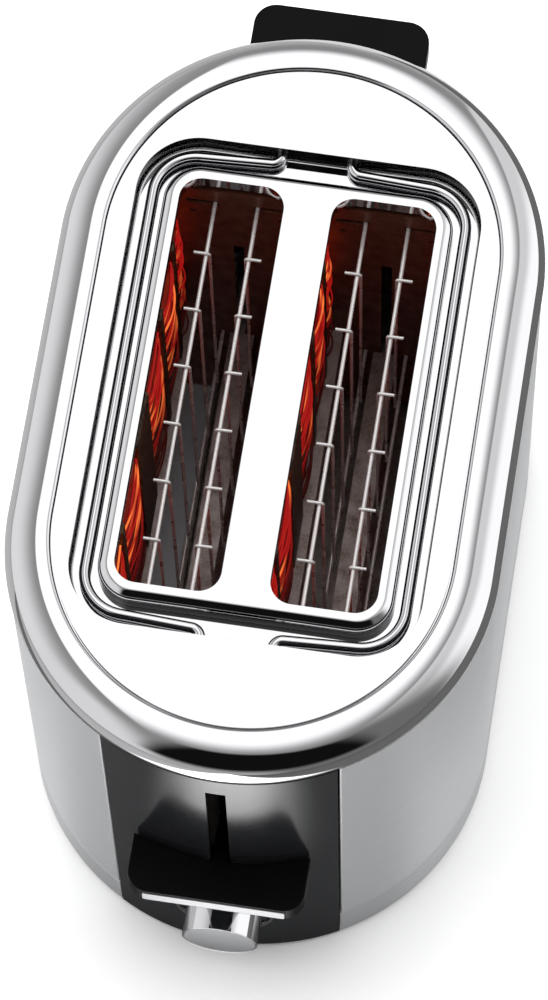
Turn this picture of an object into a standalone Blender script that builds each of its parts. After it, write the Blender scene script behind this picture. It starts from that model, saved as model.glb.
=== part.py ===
"""A two-slot toaster with a built-in bun rack, one object for each physical piece.

The body is a stadium in plan: straight long sides and round ends. The bread lever and the
browning knob are at the front (-Y), the lever of the bun rack is at the back (+Y). All sizes
are in metres, +Z is up and the origin lies on the table under the middle of the toaster.
The model stands as in use: bread lever down, bread guides closed, bun rack folded down.
"""
import math

import bmesh
import bpy
from mathutils import Matrix, Vector

# Heights of the whole body
CARRIER_TOP_Z = 0.0670
CHAMBER_HEIGHT = 0.1340
TOP_Z = CARRIER_TOP_Z + CHAMBER_HEIGHT
BASE_Z = 0.0025
SEAM_Z = 0.0240

# Clearances shared by all pieces
GAP = 0.0003
RUNNING_GAP = 0.0003
OVERRUN = 0.002
FUSE = 0.0005
WELD_DISTANCE = 0.000002
MERGE_DISTANCE = 0.00001

# Counts of steps on round stretches
END_STEPS = 24
CORNER_STEPS = 5
ROUND_SEGMENTS = 20
SMALL_SEGMENTS = 12

# Bread slots, which set the size of all that lies round them
SLOT_HALF_X = 0.01845
SLOT_HALF_Y = 0.0760
SLOT_BRIDGE = 0.0168
SLOT_CENTRE_X = SLOT_BRIDGE / 2 + SLOT_HALF_X
SLOT_CORNER = 0.0080
SLOT_LIP = 0.0008
SLOT_LIP_DEPTH = 0.0060

# Slot plate, level with the top plate
SLOT_PLATE_SIDE_MARGIN = 0.0057
SLOT_PLATE_END_MARGIN = 0.0058
SLOT_PLATE_HALF_X = SLOT_CENTRE_X + SLOT_HALF_X + SLOT_PLATE_SIDE_MARGIN
SLOT_PLATE_HALF_Y = SLOT_HALF_Y + SLOT_PLATE_END_MARGIN
SLOT_PLATE_CORNER = 0.0130
SLOT_PLATE_THICKNESS = 0.0010

# Top plate with the trough that the bun rack lies in
TOP_PLATE_THICKNESS = 0.0010
TROUGH_SIDE_WIDTH = 0.0097
TROUGH_END_WIDTH = 0.0096
TROUGH_HALF_X = SLOT_PLATE_HALF_X + TROUGH_SIDE_WIDTH
TROUGH_HALF_Y = SLOT_PLATE_HALF_Y + TROUGH_END_WIDTH
TROUGH_CORNER = 0.0220
TROUGH_DEPTH = 0.0125
TROUGH_WALL = 0.0015
TROUGH_FLOOR_SIDE_TUCK = 0.0030
TROUGH_FLOOR_END_TUCK = 0.0026
TROUGH_FLOOR_INNER_X = SLOT_PLATE_HALF_X - TROUGH_FLOOR_SIDE_TUCK
TROUGH_FLOOR_INNER_Y = SLOT_PLATE_HALF_Y - TROUGH_FLOOR_END_TUCK
TROUGH_FLOOR_CORNER = 0.0060

# Rim: a rolled bead from the groove beside the top plate to the wall
TOP_PLATE_MARGIN = 0.00815
RIM_WIDTH = 0.01615
RIM_INNER_RADIUS = TROUGH_HALF_X + TOP_PLATE_MARGIN
RIM_RADIUS = RIM_INNER_RADIUS + RIM_WIDTH
RIM_CROWN = 0.0006
RIM_THICKNESS = 0.0015
RIM_LEDGE_WIDTH = 0.0030
RIM_WIDEST_DROP = 0.0090
RIM_LOWER_DROP = 0.0118
RIM_LOWER_TUCK = 0.0012
RIM_SHOULDER = 0.0060
RIM_STEPS = 5

# Plan of the body: straight long sides and round ends
RIM_PROUD = 0.0005
END_CENTRE_SETBACK = 0.0373
LEVER_PROUD = 0.0164
BODY_RADIUS = RIM_RADIUS - RIM_PROUD
STRAIGHT_HALF = TROUGH_HALF_Y - END_CENTRE_SETBACK
BODY_END_Y = STRAIGHT_HALF + BODY_RADIUS
LEVER_REACH = BODY_END_Y + LEVER_PROUD

# Side shells, with the folded edges that frame the panels
SHELL_THICKNESS = 0.0010
SHELL_FOLD = 0.0060
SHELL_TOP_DROP = 0.0121

# Front and back panels
PANEL_HALF = 0.0405
PANEL_THICKNESS = 0.0018
PANEL_FOOT = 0.0005

# Base with its floor
BASE_WALL = 0.0040
FLOOR_LOW_Z = 0.0060
FLOOR_THICKNESS = 0.0020
FLOOR_Z = FLOOR_LOW_Z + FLOOR_THICKNESS

# End plates of the bread chamber
END_PLATE_SLOT_GAP = 0.0010
END_PLATE_SIDE_REACH = 0.0050
END_PLATE_NECK_CLEARANCE = 0.0030
END_PLATE_Y = SLOT_HALF_Y + END_PLATE_SLOT_GAP
END_PLATE_THICKNESS = 0.0010
END_PLATE_HALF_X = SLOT_PLATE_HALF_X + END_PLATE_SIDE_REACH
END_PLATE_TOP_DROP = 0.0120
END_PLATE_NECK_HALF_X = TROUGH_FLOOR_INNER_X - END_PLATE_NECK_CLEARANCE
FLANGE_REACH = 0.0100
FLANGE_INSET = 0.0030
FLANGE_INNER_X = END_PLATE_NECK_HALF_X - FLANGE_INSET
FLANGE_THICKNESS = 0.0010
PEEPHOLE_OFFSET = 0.0159
PEEPHOLE_DROP = 0.0305
PEEPHOLE_RADIUS = 0.0013

# Heater boards and the wire wound round them
BOARD_SLOT_CLEARANCE = 0.00335
BOARD_OFFSET = SLOT_HALF_X + BOARD_SLOT_CLEARANCE
BOARD_THICKNESS = 0.0012
BOARD_TOP_DROP = 0.0190
BOARD_TAB_HEIGHT = 0.0060
BOARD_NOTCH_DEPTH = 0.0055
BOARD_NOTCH_HALF_Y = END_PLATE_Y - BOARD_NOTCH_DEPTH
WINDING_RADIUS = 0.00045
WINDING_TURNS = 9
WINDING_MARGIN = 0.0060
WINDING_END_STEPS = 2
WINDING_SIDES_SETTING = 1

# Reflector sheets behind the outer boards and rail under the inner boards
SHEET_THICKNESS = 0.0008
SHELF_CARRIER_GAP = 0.0130
SHELF_Z = CARRIER_TOP_Z + SHELF_CARRIER_GAP
REFLECTOR_BOARD_GAP = 0.00615
REFLECTOR_X = SLOT_CENTRE_X + BOARD_OFFSET + REFLECTOR_BOARD_GAP
REFLECTOR_TOP_DROP = 0.0150
SHELF_WIDTH = 0.0098
SHELF_INNER_X = REFLECTOR_X - SHELF_WIDTH
RAIL_BOARD_REACH = 0.00585
RAIL_HALF_X = SLOT_CENTRE_X - BOARD_OFFSET + RAIL_BOARD_REACH
RAIL_HEIGHT = 0.0095

# Bread guides: a wire grid on each side of each slot, hinged at its lower wire
GUIDE_WIRE_OFFSET = 0.0076
GUIDE_TOP_DROP = 0.0220
GUIDE_HINGE_DROP = 0.0030
GUIDE_LOW_Z = CARRIER_TOP_Z - GUIDE_HINGE_DROP
GUIDE_WIRE_RADIUS = 0.0010
GUIDE_UPRIGHT_RADIUS = 0.0008
GUIDE_WELD_OFFSET = 0.0013
GUIDE_UPRIGHTS = 6
GUIDE_END_MARGIN = 0.0230
GUIDE_UPRIGHT_SPAN = 2 * (SLOT_HALF_Y - GUIDE_END_MARGIN)
GUIDE_HOOK_REACH = 0.0055
GUIDE_END_REACH = 0.0006
GUIDE_SLOT_LENGTH = 0.0105

# Bread carriers and the carriage that lifts them
CARRIER_HALF_X = 0.0045
CARRIER_THICKNESS = 0.0010
CARRIER_WEB_HALF_X = 0.0006
CARRIER_WEB_HEIGHT = 0.0090
CARRIER_END_CLEARANCE = 0.0012
CARRIER_TAB_REACH = 0.0020
CARRIER_SLOT_HALF_X = 0.0019
CARRIAGE_HEADROOM = 0.0640
CARRIAGE_TRAVEL = CHAMBER_HEIGHT - CARRIAGE_HEADROOM
CARRIER_SLOT_TOP_CLEARANCE = 0.0070
CARRIER_SLOT_LOW_CLEARANCE = 0.0010

ROD_RADIUS = 0.0030
ROD_PLATE_GAP = 0.0230
ROD_Y = END_PLATE_Y + ROD_PLATE_GAP
HUB_RADIUS = 0.0080
HUB_HEIGHT = 0.0380
CROSSBAR_PLATE_GAP = 0.0070
CROSSBAR_Y = END_PLATE_Y + CROSSBAR_PLATE_GAP
CROSSBAR_THICKNESS = 0.0030
CROSSBAR_CARRIER_REACH = 0.00315
CROSSBAR_HALF_X = SLOT_CENTRE_X + CROSSBAR_CARRIER_REACH
CROSSBAR_DROP = 0.0100
CROSSBAR_LOW_Z = CARRIER_TOP_Z - CROSSBAR_DROP
HUB_RISE = 0.0170
HUB_LOW_Z = CROSSBAR_LOW_Z + HUB_RISE
CROSSBAR_HEIGHT = 0.0160
CARRIAGE_WEB_HALF_X = 0.0040
CARRIAGE_WEB_HEIGHT = 0.0200
LEVER_ARM_REACH = 0.0180
SPRING_LUG_X = 0.0220
SPRING_LUG_HALF_X = 0.0030
SPRING_LUG_REACH = 0.0075
SPRING_LUG_THICKNESS = 0.0020

# Lift spring, a pulled coil between the carriage and the chamber's top flange
SPRING_RADIUS = 0.0028
SPRING_WIRE_RADIUS = 0.00045
SPRING_TURNS = 14
SPRING_STEPS = 6
SPRING_LUG_OFFSET = 0.0035

# Bread lever and bun rack lever, alike in shape
LEVER_HALF_X = 0.0315
LEVER_HEIGHT = 0.0100
LEVER_TOP_RISE = 0.0305
LEVER_TOP_Z = HUB_LOW_Z + LEVER_TOP_RISE
LEVER_CORNER = 0.0070
LEVER_PANEL_GAP = 0.0010
LEVER_NECK_HALF_X = 0.0028
TRIM_END_MARGIN = 0.0061
TRIM_HALF_X = LEVER_HALF_X - TRIM_END_MARGIN
TRIM_HEIGHT = 0.0063
TRIM_THICKNESS = 0.0010
TRIM_PROUD = 0.0004
PANEL_SLOT_HALF_X = 0.0035
PANEL_SLOT_END_GAP = 0.0015

# Latch magnet that holds the carriage down
MAGNET_X = 0.0220
MAGNET_SPAN = 0.0140
MAGNET_LEG = 0.0040
MAGNET_DEPTH = 0.0060
MAGNET_PLATE_GAP = 0.0130
MAGNET_Y = END_PLATE_Y + MAGNET_PLATE_GAP
MAGNET_YOKE_Z = 0.0260
MAGNET_STEM_HALF = 0.0020
COIL_WALL = 0.0020
COIL_END_MARGIN = 0.0020
KEEPER_THICKNESS = 0.0020
KEEPER_HALF_X = 0.0070
KEEPER_HALF_Y = 0.0040

# Browning knob, its control and the circuit board
KNOB_Z = 0.0410
KNOB_RADIUS = 0.0138
KNOB_PROUD = 0.0114
KNOB_FACE_Y = BODY_END_Y + KNOB_PROUD
KNOB_CHAMFER = 0.0006
KNOB_WALL_GAP = 0.0007
KNOB_BORE_DEPTH = 0.0070
SHAFT_RADIUS = 0.0030
CONTROL_RADIUS = 0.0085
CONTROL_LENGTH = 0.0090
CONTROL_BUSH_RADIUS = 0.0046
CONTROL_BUSH_PROUD = 0.0003
CONTROL_SETBACK = 0.0156
CONTROL_BACK_Y = BODY_END_Y - CONTROL_SETBACK
CONTROL_FLOOR = 0.0030
CIRCUIT_BOARD_HALF_X = 0.0340
CIRCUIT_BOARD_THICKNESS = 0.0016
CIRCUIT_BOARD_TOP_Z = 0.0620
BEZEL_INNER_RADIUS = 0.0169
BEZEL_OUTER_RADIUS = 0.0181
BEZEL_PROUD = 0.0008

# Bun rack: two bent wires hinged in the trough's end walls
RACK_WIRE_RADIUS = 0.0020
RACK_DROP = 0.0055
RACK_HINGE_X = 0.0125
RACK_SIDE_GAP = 0.0042
RACK_ARM_GAP = 0.0058
RACK_CORNER_GAP = 0.0037
RACK_SIDE_X = SLOT_PLATE_HALF_X + RACK_SIDE_GAP
RACK_ARM_Y = SLOT_PLATE_HALF_Y + RACK_ARM_GAP
RACK_CORNER_Y = SLOT_PLATE_HALF_Y + RACK_CORNER_GAP
RACK_HINGE_BEND = 0.0035
RACK_CORNER_BEND = 0.0150
RACK_BEND_STEPS = 5
RACK_FRONT_REACH = 0.0015
RACK_SWING = math.radians(50.0)

# Cranks on the rack wires, and the cam slider that turns them
CRANK_LENGTH = 0.0200
CRANK_THICKNESS = 0.0030
CRANK_EYE_RADIUS = 0.0042
CRANK_TIP_RADIUS = 0.0033
CRANK_PIN_RADIUS = 0.0017
CRANK_WALL_GAP = 0.0005
CRANK_PIN_REACH = 0.0028
RACK_TRAVEL = 0.0160
CAM_THICKNESS = 0.0020
CAM_CLEARANCE = 0.0004
CAM_SLOT_CLEARANCE = 0.00035
CAM_SLOT_STEPS = 8
CAM_HALF_X = 0.0270
CAM_DROP = 0.0410
CAM_LOW_Z = TOP_Z - CAM_DROP
CAM_TOP_MARGIN = 0.0022
CAM_ROD_PLATE_GAP = 0.0290
CAM_ROD_Y = END_PLATE_Y + CAM_ROD_PLATE_GAP
CAM_HUB_HEIGHT = 0.0220
CAM_HUB_RADIUS = 0.0062
CAM_ARM_REACH = 0.0160
RACK_LEVER_TOP_DROP = 0.0160
BRACKET_DROP = 0.0610
BRACKET_TOP_Z = TOP_Z - BRACKET_DROP
BRACKET_THICKNESS = 0.0015
BRACKET_HALF_X = 0.0080
BRACKET_LEG = 0.0150
BRACKET_END_MARGIN = 0.0050

# Crumb tray, pulled out at the back
TRAY_PANEL_MARGIN = 0.0025
TRAY_HALF_X = PANEL_HALF - TRAY_PANEL_MARGIN
TRAY_HEIGHT = 0.0076
TRAY_THICKNESS = 0.0008
TRAY_FACE_OVERLAP = 0.0004
TRAY_FACE_HALF_X = TRAY_HALF_X + TRAY_FACE_OVERLAP
TRAY_FACE_HEIGHT = 0.0090
TRAY_OPENING_CLEARANCE = 0.0008

# Feet, screws and the bush for the lead
FOOT_RADIUS = 0.0080
FOOT_EDGE_MARGIN = 0.0345
FOOT_STRAIGHT_OVERRUN = 0.0019
FOOT_X = BODY_RADIUS - FOOT_EDGE_MARGIN
FOOT_Y = STRAIGHT_HALF + FOOT_STRAIGHT_OVERRUN
SCREW_NECK_OVERLAP = 0.0070
SCREW_PLATE_GAP = 0.0060
SCREW_X = END_PLATE_HALF_X - SCREW_NECK_OVERLAP
SCREW_Y = END_PLATE_Y + SCREW_PLATE_GAP
SCREW_HEAD_RADIUS = 0.0036
SCREW_HEAD_HEIGHT = 0.0020
SCREW_SHANK_RADIUS = 0.0018
SCREW_PASS = 0.0030
BUSH_PANEL_MARGIN = 0.0095
BUSH_STRAIGHT_OVERRUN = 0.0459
BUSH_X = PANEL_HALF + BUSH_PANEL_MARGIN
BUSH_Y = STRAIGHT_HALF + BUSH_STRAIGHT_OVERRUN
BUSH_RADIUS = 0.0060
BUSH_FLANGE = 0.0015
BUSH_FLANGE_HEIGHT = 0.0015
BUSH_BORE_RADIUS = 0.0035

FRONT = -1
BACK = 1
LEFT = -1
RIGHT = 1

PLANE_TURNS = {
    "Z": Matrix.Identity(4),
    "Y": Matrix.Rotation(math.radians(90.0), 4, "X"),
    "X": Matrix(((0, 0, 1, 0), (1, 0, 0, 0), (0, 1, 0, 0), (0, 0, 0, 1))),
}
AXES = "XYZ"


def clear_scene():
    """Remove every object, and the data that they leave."""
    for thing in list(bpy.data.objects):
        bpy.data.objects.remove(thing, do_unlink=True)
    for collection in list(bpy.data.collections):
        bpy.data.collections.remove(collection)


def make_collection(name):
    """Add a collection under the scene's own."""
    collection = bpy.data.collections.new(name)
    bpy.context.scene.collection.children.link(collection)
    return collection


def make_material(name, colour, roughness, metallic):
    """A Principled material; colour is linear red, green and blue."""
    material = bpy.data.materials.new(name)
    material.use_nodes = True
    shader = material.node_tree.nodes["Principled BSDF"]
    shader.inputs["Base Color"].default_value = (*colour, 1.0)
    shader.inputs["Roughness"].default_value = roughness
    shader.inputs["Metallic"].default_value = metallic
    material.diffuse_color = (*colour, 1.0)
    return material


clear_scene()
PARTS = make_collection("toaster")
CUTTERS = make_collection("toaster_cutters")

CHROME = make_material("chrome", (0.80, 0.80, 0.81), 0.06, 1.0)
BRUSHED_STEEL = make_material("brushed_steel", (0.62, 0.62, 0.63), 0.28, 1.0)
PLATED_SHEET = make_material("plated_sheet", (0.45, 0.44, 0.43), 0.40, 1.0)
PANEL_GREY = make_material("panel_grey", (0.030, 0.030, 0.032), 0.20, 0.0)
SILVER_PLASTIC = make_material("silver_plastic", (0.45, 0.455, 0.46), 0.38, 0.35)
BLACK_PLASTIC = make_material("black_plastic", (0.010, 0.010, 0.010), 0.32, 0.0)
RUBBER = make_material("rubber", (0.020, 0.020, 0.020), 0.80, 0.0)
MICA = make_material("mica", (0.36, 0.26, 0.18), 0.60, 0.0)
HEATER_WIRE = make_material("heater_wire", (1.0, 0.16, 0.02), 0.50, 0.0)
BOARD_GREEN = make_material("board_green", (0.02, 0.10, 0.04), 0.50, 0.0)
COPPER = make_material("copper", (0.55, 0.22, 0.10), 0.35, 1.0)


def link_object(name, mesh, material):
    """Put a mesh in the scene: a part if it has a material, else a cutter."""
    thing = bpy.data.objects.new(name, mesh)
    if material is None:
        CUTTERS.objects.link(thing)
        thing.hide_render = True
        thing.display_type = "WIRE"
    else:
        PARTS.objects.link(thing)
        mesh.materials.clear()
        mesh.materials.append(material)
    return thing


def mesh_from_curve(name, curve, matrix, material):
    """Turn a curve into one welded closed mesh object that keeps the curve's place."""
    holder = bpy.data.objects.new(name + "_curve", curve)
    bpy.context.scene.collection.objects.link(holder)
    holder.matrix_world = matrix
    bpy.context.view_layer.update()
    depsgraph = bpy.context.evaluated_depsgraph_get()
    mesh = bpy.data.meshes.new_from_object(holder.evaluated_get(depsgraph), depsgraph=depsgraph)
    shape = bmesh.new()
    shape.from_mesh(mesh)
    bmesh.ops.remove_doubles(shape, verts=shape.verts, dist=WELD_DISTANCE)
    bmesh.ops.recalc_face_normals(shape, faces=shape.faces)
    shape.to_mesh(mesh)
    shape.free()
    bpy.data.objects.remove(holder, do_unlink=True)
    mesh.name = name
    thing = link_object(name, mesh, material)
    thing.matrix_world = matrix
    return thing


def plate(name, outlines, axis, low, high, material=None):
    """A flat outline, with any holes, made thick along an axis.

    The outline's points are (x, y) for axis Z, (x, z) for axis Y and (y, z) for axis X.
    """
    curve = bpy.data.curves.new(name, "CURVE")
    curve.dimensions = "2D"
    curve.fill_mode = "BOTH"
    curve.extrude = (high - low) / 2
    for outline in outlines:
        spline = curve.splines.new("POLY")
        spline.points.add(len(outline) - 1)
        for point, (u, v) in zip(spline.points, outline):
            point.co = (u, v, 0.0, 1.0)
        spline.use_cyclic_u = True
    place = Vector((0.0, 0.0, 0.0))
    place[AXES.index(axis)] = (low + high) / 2
    return mesh_from_curve(name, curve, Matrix.Translation(place) @ PLANE_TURNS[axis], material)


def tube(name, paths, radius, sides_setting, material=None):
    """Round wire along each path of points, with closed ends."""
    curve = bpy.data.curves.new(name, "CURVE")
    curve.dimensions = "3D"
    curve.bevel_depth = radius
    curve.bevel_resolution = sides_setting
    curve.use_fill_caps = True
    for path in paths:
        spline = curve.splines.new("POLY")
        spline.points.add(len(path) - 1)
        for point, place in zip(spline.points, path):
            point.co = (*place, 1.0)
    return mesh_from_curve(name, curve, Matrix.Identity(4), material)


def box(name, low, high, material=None):
    """A block between two corners."""
    size = Vector(high) - Vector(low)
    mesh = bpy.data.meshes.new(name)
    shape = bmesh.new()
    bmesh.ops.create_cube(shape, size=1.0, matrix=Matrix.Diagonal((*size, 1.0)))
    shape.to_mesh(mesh)
    shape.free()
    thing = link_object(name, mesh, material)
    thing.location = (Vector(high) + Vector(low)) / 2
    return thing


def cylinder(name, axis, start, end, radius, segments=ROUND_SEGMENTS, material=None):
    """A round bar along an axis, from the point start to the place end on that axis."""
    index = AXES.index(axis)
    length = end - start[index]
    mesh = bpy.data.meshes.new(name)
    shape = bmesh.new()
    bmesh.ops.create_cone(shape, cap_ends=True, segments=segments,
                          radius1=radius, radius2=radius, depth=length)
    shape.to_mesh(mesh)
    shape.free()
    mesh.shade_smooth()
    mesh.set_sharp_from_angle(angle=math.radians(30.0))
    thing = link_object(name, mesh, material)
    place = Vector(start)
    place[index] = (start[index] + end) / 2
    thing.matrix_world = Matrix.Translation(place) @ PLANE_TURNS[axis]
    return thing


def turned(name, profile, segments, material=None):
    """A turned shape about Z: the profile of (radius, height) runs down its outer side."""
    mesh = bpy.data.meshes.new(name)
    vertices = [(radius, 0.0, height) for radius, height in profile]
    edges = [(index, index + 1) for index in range(len(profile) - 1)]
    mesh.from_pydata(vertices, edges, [])
    thing = link_object(name, mesh, material)
    screw = thing.modifiers.new("Turn", "SCREW")
    screw.axis = "Z"
    screw.steps = segments
    screw.render_steps = segments
    screw.use_merge_vertices = True
    screw.merge_threshold = MERGE_DISTANCE
    return thing


def combine(target, other, operation):
    """Cut, join or intersect a piece with another by a Boolean that stays live."""
    modifier = target.modifiers.new(operation.title() + " " + other.name, "BOOLEAN")
    modifier.operation = operation
    modifier.solver = "EXACT"
    modifier.object = other
    return target


def cut(target, *others):
    """Take the others away from a piece."""
    for other in others:
        combine(target, other, "DIFFERENCE")
    return target


def join(target, *others):
    """Make the others part of a piece."""
    for other in others:
        combine(target, other, "UNION")
    return target


def joint_empty(name, place, pieces):
    """An empty on a joint's axis that carries the pieces that move with it."""
    empty = bpy.data.objects.new(name, None)
    PARTS.objects.link(empty)
    empty.location = place
    bpy.context.view_layer.update()
    for piece in pieces:
        piece.parent = empty
        piece.matrix_parent_inverse = empty.matrix_world.inverted()
    return empty


def arc(centre, radius, start, stop, steps):
    """Points along an arc in a plane, both ends included."""
    points = []
    for index in range(steps + 1):
        angle = start + (stop - start) * index / steps
        points.append((centre[0] + radius * math.cos(angle), centre[1] + radius * math.sin(angle)))
    return points


def stadium(radius):
    """Plan outline of the body at a radius of its round ends."""
    front = arc((0.0, -STRAIGHT_HALF), radius, -math.pi, 0.0, END_STEPS)
    back = arc((0.0, STRAIGHT_HALF), radius, 0.0, math.pi, END_STEPS)
    return front + back


def rounded_rectangle(half_x, half_y, corner, centre_x=0.0):
    """Rectangle about (centre_x, 0) with round corners."""
    points = []
    for quarter, (sign_x, sign_y) in enumerate(((1, 1), (-1, 1), (-1, -1), (1, -1))):
        centre = (centre_x + sign_x * (half_x - corner), sign_y * (half_y - corner))
        start = quarter * math.pi / 2
        points += arc(centre, corner, start, start + math.pi / 2, CORNER_STEPS)
    return points


def rectangle(low, high):
    """Four corners of a rectangle in a plane."""
    return [low, (high[0], low[1]), high, (low[0], high[1])]


def wall_angle(radius, edge_x):
    """Angle from the middle of a round end at which its wall is edge_x to the side."""
    return math.asin(edge_x / radius)


def end_arc(radius, start, stop, end, side=RIGHT):
    """Points on a round end's wall, by the angle from the middle of that end."""
    steps = max(2, round(END_STEPS * abs(stop - start) / math.pi))
    points = []
    for index in range(steps + 1):
        angle = start + (stop - start) * index / steps
        reach = STRAIGHT_HALF + radius * math.cos(angle)
        points.append((side * radius * math.sin(angle), end * reach))
    return points


def wall_y(radius, edge_x):
    """Distance from the middle of the body to its end wall at a place edge_x to the side."""
    return STRAIGHT_HALF + math.sqrt(radius * radius - edge_x * edge_x)


def filleted(corners, radii, steps):
    """A path through corners, each inner one rounded by an arc of its radius."""
    points = [Vector(corners[0])]
    for index in range(1, len(corners) - 1):
        corner = Vector(corners[index])
        back = (Vector(corners[index - 1]) - corner).normalized()
        ahead = (Vector(corners[index + 1]) - corner).normalized()
        half = back.angle(ahead) / 2
        radius = radii[index - 1]
        centre = corner + (back + ahead).normalized() * (radius / math.sin(half))
        first = corner + back * (radius / math.tan(half)) - centre
        last = corner + ahead * (radius / math.tan(half)) - centre
        for step in range(steps + 1):
            turned_by = first.normalized().slerp(last.normalized(), step / steps)
            points.append(centre + turned_by * radius)
    points.append(Vector(corners[-1]))
    return points


def panel_outline(edge_x, outer, inner):
    """Plan outline of a curved panel at the front, from its outer to its inner radius."""
    outer_angle = wall_angle(outer, edge_x)
    inner_angle = wall_angle(inner, edge_x)
    outside = end_arc(outer, -outer_angle, outer_angle, FRONT)
    inside = end_arc(inner, inner_angle, -inner_angle, FRONT)
    return outside + inside


def mirrored_y(outline):
    """The same outline at the other end of the body."""
    return [(x, -y) for x, y in reversed(outline)]


def make_base():
    """Moulded base: a ring wall round a floor, stepped back behind both panels."""
    step_radius = BODY_RADIUS - PANEL_THICKNESS - GAP
    step_x = PANEL_HALF + GAP
    outer_angle = wall_angle(BODY_RADIUS, step_x)
    step_angle = wall_angle(step_radius, step_x)
    front = end_arc(step_radius, -step_angle, step_angle, FRONT)
    right = end_arc(BODY_RADIUS, outer_angle, math.pi / 2, FRONT)
    right += end_arc(BODY_RADIUS, math.pi / 2, outer_angle, BACK)
    back = end_arc(step_radius, step_angle, -step_angle, BACK)
    left = end_arc(BODY_RADIUS, outer_angle, math.pi / 2, BACK, LEFT)
    left += end_arc(BODY_RADIUS, math.pi / 2, outer_angle, FRONT, LEFT)
    outline = front + right + back + left
    base = plate("base", [outline], "Z", BASE_Z, SEAM_Z - GAP, SILVER_PLASTIC)
    inside = stadium(BODY_RADIUS - BASE_WALL)
    cut(base, plate("base_upper_hollow", [inside], "Z", FLOOR_Z, SEAM_Z + OVERRUN))
    cut(base, plate("base_lower_hollow", [inside], "Z", BASE_Z - OVERRUN, FLOOR_LOW_Z))
    opening_x = TRAY_FACE_HALF_X + TRAY_OPENING_CLEARANCE / 2
    opening_top = FLOOR_Z + GAP + TRAY_FACE_HEIGHT + TRAY_OPENING_CLEARANCE
    cut(base, box("base_tray_opening",
                  (-opening_x, STRAIGHT_HALF, FLOOR_Z),
                  (opening_x, LEVER_REACH, opening_top)))
    for index, (x, y) in enumerate(screw_places()):
        cut(base, cylinder("base_screw_hole_%d" % (index + 1), "Z",
                           (x, y, FLOOR_LOW_Z - OVERRUN), FLOOR_Z + OVERRUN,
                           SCREW_SHANK_RADIUS + RUNNING_GAP, SMALL_SEGMENTS))
    cut(base, cylinder("base_lead_hole", "Z", (BUSH_X, BUSH_Y, FLOOR_LOW_Z - OVERRUN),
                       FLOOR_Z + OVERRUN, BUSH_RADIUS + GAP, SMALL_SEGMENTS))
    return base


def screw_places():
    """Where the four screws pass through the floor into the end plates' flanges."""
    return [(side * SCREW_X, end * SCREW_Y) for end in (FRONT, BACK) for side in (LEFT, RIGHT)]


def make_feet():
    """Four rubber feet under the floor."""
    for end, end_name in ((FRONT, "front"), (BACK, "back")):
        for side, side_name in ((LEFT, "left"), (RIGHT, "right")):
            top = FLOOR_LOW_Z - GAP
            profile = [(0.0, top), (FOOT_RADIUS, top), (FOOT_RADIUS, 0.0), (0.0, 0.0)]
            foot = turned("foot_%s_%s" % (end_name, side_name), profile, ROUND_SEGMENTS, RUBBER)
            foot.location = (side * FOOT_X, end * FOOT_Y, 0.0)


def make_screws():
    """Four screws that hold the chamber to the base."""
    names = ("front_left", "front_right", "back_left", "back_right")
    for name, (x, y) in zip(names, screw_places()):
        seat = FLOOR_LOW_Z - GAP
        head_low = seat - SCREW_HEAD_HEIGHT
        tip = FLOOR_Z + GAP + FLANGE_THICKNESS + SCREW_PASS
        profile = [(0.0, tip), (SCREW_SHANK_RADIUS, tip), (SCREW_SHANK_RADIUS, seat),
                   (SCREW_HEAD_RADIUS, seat), (SCREW_HEAD_RADIUS, head_low), (0.0, head_low)]
        screw = turned("base_screw_" + name, profile, SMALL_SEGMENTS, PLATED_SHEET)
        screw.location = (x, y, 0.0)


def make_lead_bush():
    """Bush in the floor where the mains lead enters."""
    top = FLOOR_Z + GAP + BUSH_FLANGE_HEIGHT
    low = FLOOR_LOW_Z
    profile = [(BUSH_BORE_RADIUS, top), (BUSH_RADIUS + BUSH_FLANGE, top),
               (BUSH_RADIUS + BUSH_FLANGE, FLOOR_Z + GAP), (BUSH_RADIUS, FLOOR_Z + GAP),
               (BUSH_RADIUS, low), (BUSH_BORE_RADIUS, low), (BUSH_BORE_RADIUS, top)]
    bush = turned("lead_bush", profile, SMALL_SEGMENTS, RUBBER)
    bush.location = (BUSH_X, BUSH_Y, 0.0)


def make_side_shells():
    """Left and right steel shells, folded inwards beside the panels."""
    inner = BODY_RADIUS - SHELL_THICKNESS
    edge = PANEL_HALF + GAP
    inner_edge = edge + SHELL_THICKNESS
    outer_angle = wall_angle(BODY_RADIUS, edge)
    inner_angle = wall_angle(inner, inner_edge)
    fold_y = wall_y(BODY_RADIUS, edge) - SHELL_FOLD
    outline = end_arc(BODY_RADIUS, outer_angle, math.pi / 2, FRONT)
    outline += end_arc(BODY_RADIUS, math.pi / 2, outer_angle, BACK)
    outline += [(edge, fold_y), (inner_edge, fold_y)]
    outline += end_arc(inner, inner_angle, math.pi / 2, BACK)
    outline += end_arc(inner, math.pi / 2, inner_angle, FRONT)
    outline += [(inner_edge, -fold_y), (edge, -fold_y)]
    top = TOP_Z - SHELL_TOP_DROP
    plate("right_side_shell", [outline], "Z", SEAM_Z, top, BRUSHED_STEEL)
    flipped = [(-x, y) for x, y in reversed(outline)]
    plate("left_side_shell", [flipped], "Z", SEAM_Z, top, BRUSHED_STEEL)


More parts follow.
